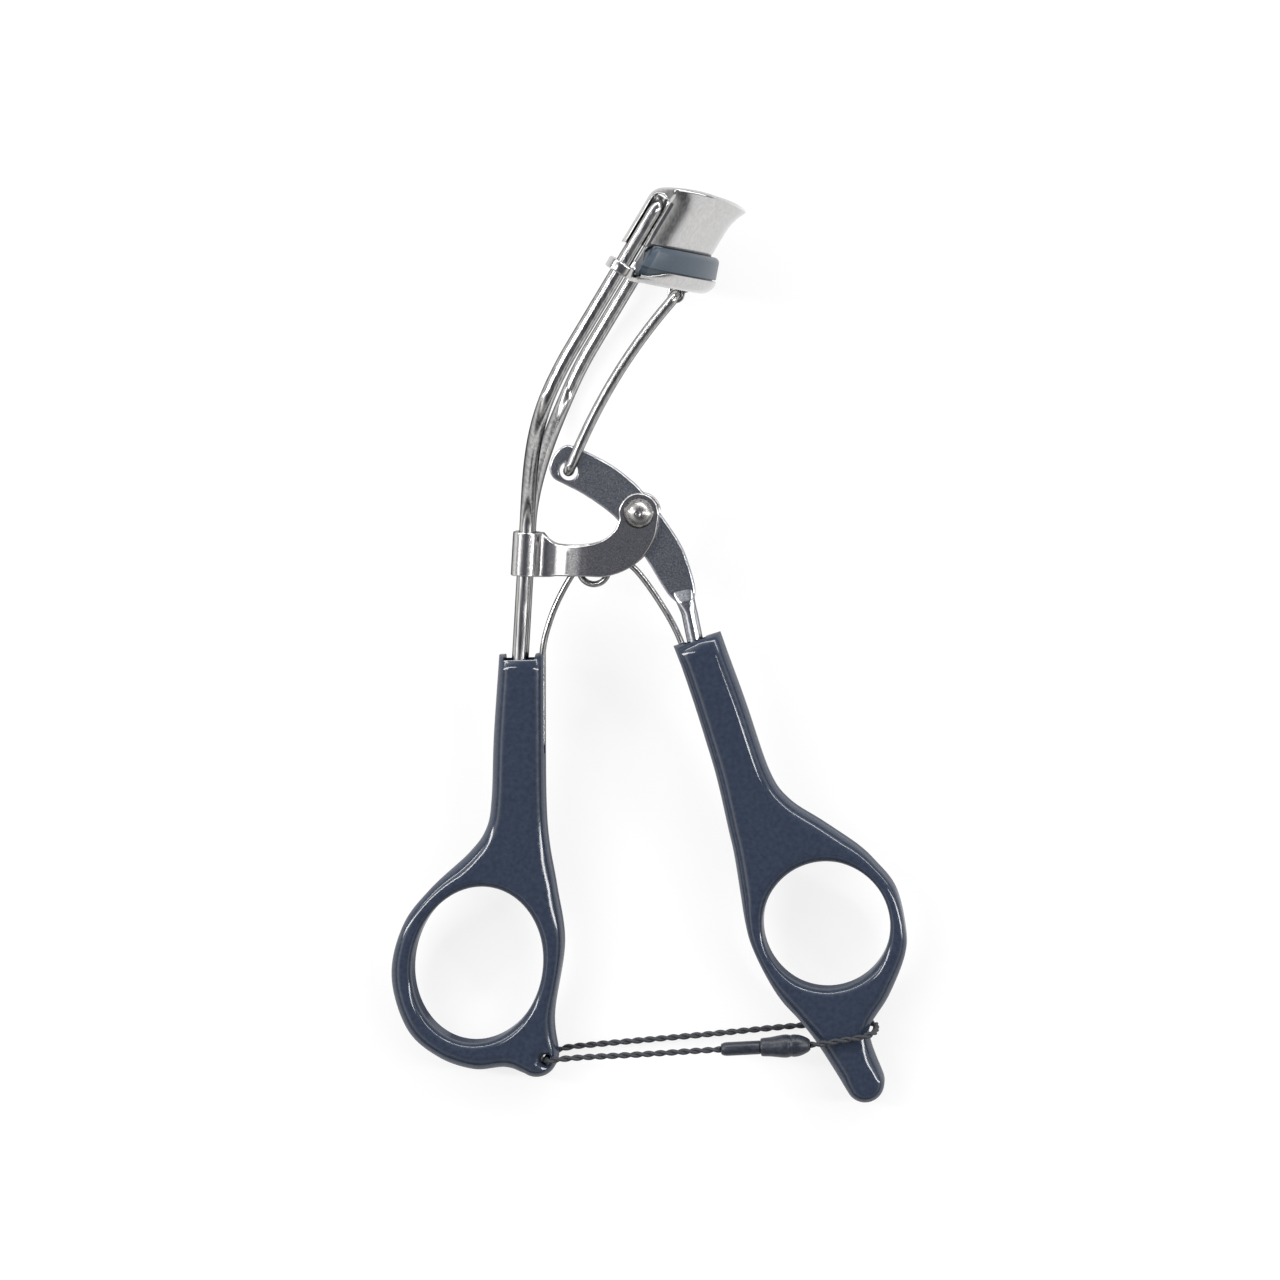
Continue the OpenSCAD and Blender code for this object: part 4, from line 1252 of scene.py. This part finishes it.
# %% Half pipes and the whole upper jaw
pipe_r, pipe_shift, pipe_in_r, pipe_left, pipe_gap, pipe_top = 1.95, 0.15, 1.3, 8.2, 0.1, 0.9
turns = np.linspace(0, math.pi, 33)
for side in (1, -1):
    rings = []
    for lift in np.linspace(0, 1, 14):
        ring = []
        for r, shift, way in ((pipe_r, pipe_shift, turns), (pipe_in_r, 0, turns[::-1])):
            x = wire_x + shift + r * np.cos(way)
            y = side * (wire_span / 2 - r * np.sin(way))
            under_crown = top_at(np.maximum(x, pipe_left)) - pipe_gap
            low, high = low_at(x), np.minimum(under_crown, slot_z + pipe_top)
            ring.append(np.column_stack([x, y, low + (high - low) * lift]))
        rings.append(np.vstack(ring))
    ends.append(loft(rings, in_head))
upper_points, upper_faces = joined((plate_points, plate_faces), *ends)
upper_jaw = dressed("rolled_plate", upper_points, upper_faces, bright_plate, crease=50)
put(kept_normals(upper_jaw, plate_normals), "frame", "chrome", "upper_jaw")

# %% [markdown]
# ## Lower jaw
# The lower jaw is a pressed channel on the same arch, with a ring at each end that slides on a
# wire, and a lug underneath for the push link. A Screw modifier would turn a section too, but
# the channel's outer lip drops towards its ends. So the section is drawn anew at each angle, and
# one skin goes over all of them.


# %% Turned sections
def arc_points(centre, r, a0, a1, n):
    a = np.radians(np.linspace(a0, a1, n))
    return [(centre[0] + r * math.cos(t), centre[1] + r * math.sin(t)) for t in a]


def softened(corners, r, n=4):
    """A closed section whose corners are rounded."""
    p = np.asarray(corners, float)
    soft = []
    for a, b, c in zip(np.roll(p, 1, 0), p, np.roll(p, -1, 0)):
        before, after = a - b, c - b
        lb, la = np.linalg.norm(before), np.linalg.norm(after)
        cut_back = min(r, 0.45 * lb, 0.45 * la)
        start, end = b + before / lb * cut_back, b + after / la * cut_back
        t = np.linspace(0, 1, n + 1)[:, None]
        soft.append((1 - t) ** 2 * start + 2 * t * (1 - t) * b + t**2 * end)
    return np.vstack(soft)


channel_out, channel_in, channel_low = jaw_r + 1.7, jaw_r - 2.4, -5.7
wall, lip_high, turn_out, turn_in = 0.6, 2.4, 2.3, 1.7
bottom = (channel_out - turn_out, channel_low + turn_out)


def channel_section(lip):
    """The channel's section. Its outer wall is a quarter round that is cut off at the lip."""
    up = math.degrees(math.asin((lip - turn_out) / turn_out)) if lip < turn_out else 0
    return softened(
        [(channel_in, channel_low + lip), (channel_in, channel_low)]
        + arc_points(bottom, turn_out, 270, 360 + up, 11)
        + arc_points(bottom, turn_in, 360 + up, 270, 11)
        + [(channel_in + wall, channel_low + wall), (channel_in + wall, channel_low + lip)], 0.25,
    )


print("channel section", len(channel_section(lip_high)), "points")

# %% Channel
lip_gap, lip_drop, drop_from, drop_over = 0.05, 1.1, math.radians(44), math.radians(13)
channel_half = jaw_turn - math.radians(4.2)
rings = []
for t in np.linspace(-1, 1, 97) * channel_half:
    lip = lip_high - lip_gap - lip_drop * eased((abs(t) - drop_from) / drop_over)
    rings.append([(r * math.cos(t), r * math.sin(t), z) for r, z in channel_section(lip)])
lower_parts = [loft(rings, in_jaw)]
print("channel", len(lower_parts[0][1]), "faces")

# %% [markdown]
# ## Wire rings and lug
# The channel's ends are rolled into two rings that slide on the wires, and a lug is pressed out
# below for the link's hook. A torus would do for a ring, but these are flat bands with soft
# edges, so a section is turned round each wire. The lug is a small blank with a hole.

# %% Wire rings and lug
ring_in, ring_out, ring_half, ring_high = 1.5, 2.33, 0.9, 32.4
ring_section = softened([
    (ring_in, -ring_half), (ring_out, -ring_half), (ring_out, ring_half), (ring_in, ring_half),
], 0.55, 5)
for side in (1, -1):
    middle_y = side * wire_span / 2
    rings = [
        [(wire_x + r * math.cos(t), middle_y + r * math.sin(t), ring_high + z) for r, z in ring_section]
        for t in np.linspace(0, 2 * math.pi, 49)[:-1]
    ]
    lower_parts.append(loft(rings + [rings[0]], in_head, caps=False))
lug, lug_t, lug_out, lug_hole_r = np.array([jaw_r - 4.1, -6.6]), 0.98, 1.38, 0.93
lug_outline = np.vstack([
    round_part(lug, lug_out, 180, 360, 15), lug + [(1.4, 0.5), (2.05, 0.9), (2.1, 1.4), (-1.4, 1.4)],
])
lug_hole = round_part(lug, lug_hole_r, 360, 15, 24)
p, _, lug_faces = blank([lug_outline, lug_hole], lug_t, [0.25, 0.15], 3)
lug_points = in_jaw(np.column_stack([p[:, 0], -p[:, 2], p[:, 1]]))
lower_parts.append((lug_points, facing_out(lug_points, lug_faces)))
lower_jaw = dressed("pad_channel", *joined(*lower_parts), bright_plate, crease=50)
put(lower_jaw, "jaw", "chrome", "lower_jaw")

# %% [markdown]
# ## Lash pad
# The pad is the rubber strip in the channel, with a groove that the upper jaw closes into. It is
# extruded on the real tool. A Curve with a bevel object would extrude it too, but its ends would
# be flat cuts, so it is a section turned round the jaw's axis here. Its ends are rounded by
# shrinking the section over the last steps, and their lower edge is tucked back, as soft rubber
# is where the channel ends.

# %% Pad section
pad_gap, foot_low, foot_r, foot_turn_z = 0.05, -5.05, 1.7, -3.35
foot_in, foot_out = channel_in + wall + pad_gap, channel_out - wall - pad_gap
head_in, head_out, top_r, crest = channel_in + 0.4, channel_out - 0.1, 0.9, 0.35
shoulder = channel_low + lip_high + 0.1
groove, groove_half, groove_low = jaw_r - sheet_t / 2, 0.75, -0.15
pad_section = softened(
    [(foot_in, foot_low)] + arc_points((foot_out - foot_r, foot_turn_z), foot_r, 270, 360, 7)
    + [(foot_out, shoulder), (head_out, shoulder)]
    + arc_points((head_out - top_r, crest - top_r), top_r, 0, 90, 9)
    + [(groove + groove_half, crest), (groove + groove_half, groove_low)]
    + [(groove - groove_half, groove_low), (groove - groove_half, crest)]
    + arc_points((head_in + top_r, crest - top_r), top_r, 90, 180, 9)
    + [(head_in, shoulder), (foot_in, shoulder)], 0.14, 3,
)
print("pad section", len(pad_section), "points")

# %% Lash pad
pad_half, end_r, half_section = jaw_turn - math.radians(7.5), 0.8, 2.6
tuck_turn, tuck_from, tuck_over, tuck_part = math.radians(3), -0.6, 2.4, 0.2
core = (pad_section.min(0) + pad_section.max(0)) / 2
tuck = tuck_turn * np.clip((tuck_from - pad_section[:, 1]) / tuck_over, 0, 1)
rounding = [end_r / jaw_r * (1 - math.cos(a)) for a in np.linspace(math.pi / 2, 0, 8)]
shrinks = [end_r * (1 - math.sin(a)) for a in np.linspace(0, math.pi / 2, 8)]
right_end = [
    (pad_half - end_r / jaw_r + back, shrink) for back, shrink in zip(rounding[::-1], shrinks[::-1])
]
stations = [(-t, k) for t, k in right_end[::-1]]
stations += [(t, 0) for t in np.linspace(-1, 1, 81)[1:-1] * right_end[0][0]] + right_end
rings = []
for turn, shrink in stations:
    section = core + (pad_section - core) * (1 - shrink / half_section)
    tucked = eased((abs(turn) - (1 - tuck_part) * pad_half) / (tuck_part * pad_half))
    around = turn + math.copysign(1, turn) * tuck * tucked
    rings.append(np.column_stack([
        section[:, 0] * np.cos(around), section[:, 0] * np.sin(around), section[:, 1],
    ]))
lash_pad = dressed("rubber_pad", *loft(rings, in_jaw), soft_rubber, crease=45)
put(lash_pad, "jaw", "pad_rubber", "lash_pad")

# %% [markdown]
# ## Lever
# The lever is a round rod that was hammered flat and bent. Its bar could be modelled by hand from
# a box, but its outline is what shows, so it is a blank with two holes: one for the rivet, one
# for the link's hook.

# %% Lever bar
lever_t, pivot_hole_r, link_hole_r = 1.3, 1.58, 1.5
lever_points = [
    (-11.4, 10.8), (-13.4, 9.6), (-14.4, 7.4), (-13.9, 5.6), (-12, 4.5), (-9.3, 3.1), (-6.1, 1),
    (-3.7, -1), (-1.5, -3.8), (1.3, -7.8), (3.6, -11.6), (5, -13.5), (6.9, -14.8), (8.4, -14.2),
    (8.8, -12), (7.7, -7.9), (6.3, -4.7), (3.5, -0.5), (0.2, 3.6), (-1.9, 5.6), (-4.8, 7.7), (-9, 9.9),
]
around = flat_curve(lever_points[-2:] + lever_points + lever_points[:2], 8)[16:-17]
lever_holes = [
    round_part((0, 0), pivot_hole_r, 360, 7.5, 48), round_part(link_low, link_hole_r, 360, 7.5, 48),
]
bar_points, bar_normals, bar_faces = blank([around, *lever_holes], lever_t, [0.3, 0.15, 0.25], 4)
print("lever bar", len(bar_faces), "faces")

# %% [markdown]
# ## Lever foot
# Below the bar the rod is still round, and goes into the thumb handle as a tang. Between them it
# is pinched. A Bridge between a flat loop and a round one would make a straight cone, so the
# foot is a loft of many sections. Each is a superellipse, because one power then turns it from
# nearly square to round.

# %% Lever foot and the whole lever
foot_from, foot_to = np.array([6.75, -12.3, 0]), tang_top + 1.9 * tang_dir
flat_wide, flat_deep, deepen, tang_r, tang_len = 1.62, 0.62, 1.4, 1.3, 8
flat_power, round_power = 5, 2
tang_side = np.array([tang_dir[1], -tang_dir[0], 0]) * -1
a = np.linspace(0, 2 * math.pi, 40, endpoint=False)
c, s = np.cos(a), np.sin(a)
rings = []
for k in np.linspace(0, 1, 31):
    grow = eased(k)
    wide, deep = flat_wide + (tang_r - flat_wide) * grow, min(flat_deep + deepen * k, tang_r)
    power = flat_power + (round_power - flat_power) * grow
    x = wide * np.sign(c) * np.abs(c) ** (2 / power)
    z = deep * np.sign(s) * np.abs(s) ** (2 / power)
    centre = (1 - k) * foot_from + k * foot_to
    rings.append(centre + np.outer(x, tang_side) + np.outer(z, [0, 0, 1]))
rings += [rings[-1] + tang_len * k * tang_dir for k in np.linspace(0, 1, 5)[1:]]
lever_mesh = joined((bar_points, bar_faces), loft(rings))
lever = kept_normals(dressed("flat_lever", *lever_mesh, grainy_plate, crease=50), bar_normals)
put(lever, "lever", "dark_steel", "lever_arm")

# %% [markdown]
# ## Pivot bracket
# The bracket is one strap: cut flat, rolled round both wires, pinched together beside them and
# opened again into two arms that hold the lever. Two mirrored plates would leave a seam at the
# roll, so the whole strap is one blank. A curve in plan says how it is bent, and the front
# view's outline is laid out flat along that curve before the blank is cut.

# %% Strap curve
strap_t, arm_z, roll_mid, pinch_z = 0.9, 2.2, 1.7, 0.92
shank_side = np.array([shank_dir[1], -shank_dir[0]])
shank_x = float(wire_corner @ shank_side)
front = [(shank_x - roll_mid, 0.0)] + arc_points((shank_x, shank_z), roll_mid, 180, 20, 15) + [
    (shank_x + 2.1, 1.4), (shank_x + 2.6, 1.05), (shank_x + 3.2, pinch_z),
    (shank_x + 3.8, pinch_z), (shank_x + 4.7, 1), (shank_x + 5.2, 1.1), (-11.1, 1.68),
    (-10.7, 1.79), (-9.2, 2.08), (-8.4, 2.15), (-6.6, arm_z), (4.5, arm_z),
]
strap = flat_curve([(x, -z) for x, z in front[:0:-1]] + front, 8)
lengths = np.concatenate([[0], np.cumsum(np.linalg.norm(np.diff(strap, axis=0), axis=1))])
lengths -= lengths[-1] / 2
slope = np.gradient(strap, lengths, axis=0)
slope /= np.linalg.norm(slope, axis=1, keepdims=True)
front_arm = (strap[:, 0] > shank_x + 0.5) & (lengths > 0)


def strapped(p):
    """A flat strap (length, along the wires, depth) wrapped round the wires."""
    place = np.column_stack([np.interp(p[:, 0], lengths, strap[:, k]) for k in (0, 1)])
    ahead = np.column_stack([np.interp(p[:, 0], lengths, slope[:, k]) for k in (0, 1)])
    ahead /= np.linalg.norm(ahead, axis=1, keepdims=True)
    place = place + p[:, 2:3] * np.column_stack([-ahead[:, 1], ahead[:, 0]])
    plan = np.outer(place[:, 0], shank_side) + np.outer(p[:, 1], shank_dir)
    return np.column_stack([plan, place[:, 1]])


def on_strap(x, y):
    """Where a point of the front view lies on the flat strap."""
    p = np.array([x, y])
    along = np.interp(p @ shank_side, strap[front_arm, 0], lengths[front_arm])
    return float(along), float(p @ shank_dir)


print("strap", round(float(lengths[-1] * 2), 1), "mm long when flat")

# %% Bent strap
ear_r, ear_hole_r, strap_grid = 3.2, 1.55, (0.4, 1.1)
roll_gap, upper_part = 1.2, 0.93
lower_edge = flat_curve([
    (-13.2, -10.1), (-8.7, -10.1), (-5.6, -10.15), (-2.6, -9.3), (-0.2, -7.8), (1.3, -6.1),
    (2.6, -3.6), on_circle((0, 0), ear_r, -12),
], 6)
upper_edge = flat_curve([
    on_circle((0, 0), ear_r, 196), (-4, -2.9), (-6.2, -4.5), (-9.4, -5.2), (-13, -5), (-14.6, -4.2),
], 6)
ear = round_part((0, 0), ear_r, 0, 180, 31)
arm = [on_strap(x, y) for x, y in np.vstack([[(-14.3, -10.25)], lower_edge, ear, upper_edge])]
low_edge, high_edge = on_strap(-15.0, -10.3)[1], on_strap(-15.6, -3.2)[1]
roll_steps = np.linspace(-1, 1, 41) * (arm[0][0] - roll_gap)
strap_outline = (
    [(s, low_edge) for s in roll_steps] + arm
    + [(s, high_edge) for s in roll_steps[::-1] * upper_part] + [(-s, q) for s, q in arm[::-1]]
)
rivet_s, rivet_q = on_strap(0, 0)
ear_hole = round_part((0, 0), ear_hole_r, 360, 15, 24)
holes = [np.array([(side * rivet_s, rivet_q)]) + ear_hole for side in (1, -1)]
flat = blank([strap_outline, *holes], strap_t, [0.25, 0.1, 0.1], 4, strap_grid)
points, normals = bent(flat[0], flat[1], strapped)
bracket = dressed("strap_bracket", points, flat[2], strap_plate, normals)
put(bracket, "frame", "dark_steel", "pivot_bracket")

# %% [markdown]
# ## Rivet
# The rivet holds the lever between the arms. It is a pin with a domed head at both ends, and
# each dome has a small dimple from the punch. A cylinder and two cut spheres could be joined,
# but all of it is round, so one profile that is turned about its axis has no seams.

# %% Rivet
pin_r, head_z, head_h, head_r, head_in_r = 1.45, 2.67, 1.35, 2.45, 2.2
dimple_deep, dimple_r, dimple_edge = 0.14, 0.2, 0.35
dome_r = (head_r**2 + head_h**2) / (2 * head_h)
dome = []
for r in np.linspace(head_r, 0.02, 22):
    z = head_z + head_h - dome_r + math.sqrt(dome_r**2 - r**2)
    dome.append((r, z - dimple_deep * (1 - eased((r - dimple_r) / dimple_edge))))
brim = softened([(head_in_r, head_z), (head_r, head_z), dome[1]], 0.2)[4:9].tolist()
rivet_half = [(pin_r, 0), (pin_r, head_z), (head_in_r, head_z)] + brim + dome[2:]
rivet_profile = [(r, -z) for r, z in rivet_half[:0:-1]] + rivet_half
rivet = dressed("domed_rivet", *turned_bar(rivet_profile, (0, 0), 64), rivet_plate, crease=45)
put(rivet, "frame", "chrome", "pivot_rivet")

# %% [markdown]
# ## Cord lock
# The lock joins the cord's two ends: a plug on one end is pushed into a socket on the other.
# Both are small round mouldings. A Screw modifier could turn their profiles, but the cord's line
# is askew to the axes, so each is a stack of rings along that line.

# %% Cord lock
lock_start, lock_end = np.array([13.2, -85.4, 4.3]), np.array([27.5, -84.5, 4.4])
lock_dir = (lock_end - lock_start) / np.linalg.norm(lock_end - lock_start)
lock_side = np.cross(lock_dir, [0, 0, 1])
lock_side /= np.linalg.norm(lock_side)
lock_up = np.cross(lock_side, lock_dir)
lock_len = float(np.linalg.norm(lock_end - lock_start))


def along_lock(profile, name):
    """A moulding from (radius, distance along the lock) points."""
    a = np.linspace(0, 2 * math.pi, 48, endpoint=False)[:, None]
    round_off = np.cos(a) * lock_side + np.sin(a) * lock_up
    rings = [lock_start + d * lock_dir + r * round_off for r, d in profile]
    return dressed(name, *loft(rings), lock_moulding, crease=40)


end = lock_len - 0.05
socket_side = flat_curve([
    (1.48, 6.85), (1.56, 8), (1.83, end - 4.4), (1.84, end - 3.6), (1.72, end - 3.1), (1.8, end - 2.6),
    (1.66, end - 1.6), (1.2, end - 0.5), (0.8, end),
], 6)
socket = [(0.8, 9.4), (0.8, 6.4), (1.2, 6.4), (1.36, 6.45), (1.45, 6.6), *socket_side, (0.3, end)]
plug = [
    (0.3, 0.05), (0.7, 0.05), (0.86, 0.12), (1.0, 0.4), (1.1, 0.9), (1.1, 6.2), (1.02, 6.36),
    (0.75, 6.38), (0.75, 9),
]
lock_barrel = put(along_lock(socket, "lock_barrel"), "lever", "lock_plastic", "lock_socket")
lock_peg = put(along_lock(plug, "lock_peg"), "lever", "lock_plastic", "lock_plug")

# %% [markdown]
# ## Washers
# The two washers hide between the bracket's arms. They could be turned again here, but their CAD
# shape is right as it stands and hardly shows, so the node only needs its finish.

# %% Finish on the washers
washers = frame["nodes"]["pivot_washers"].data
washers.materials.clear()
washers.materials.append(spring_plate)
print("washers", len(washers.polygons), "faces")
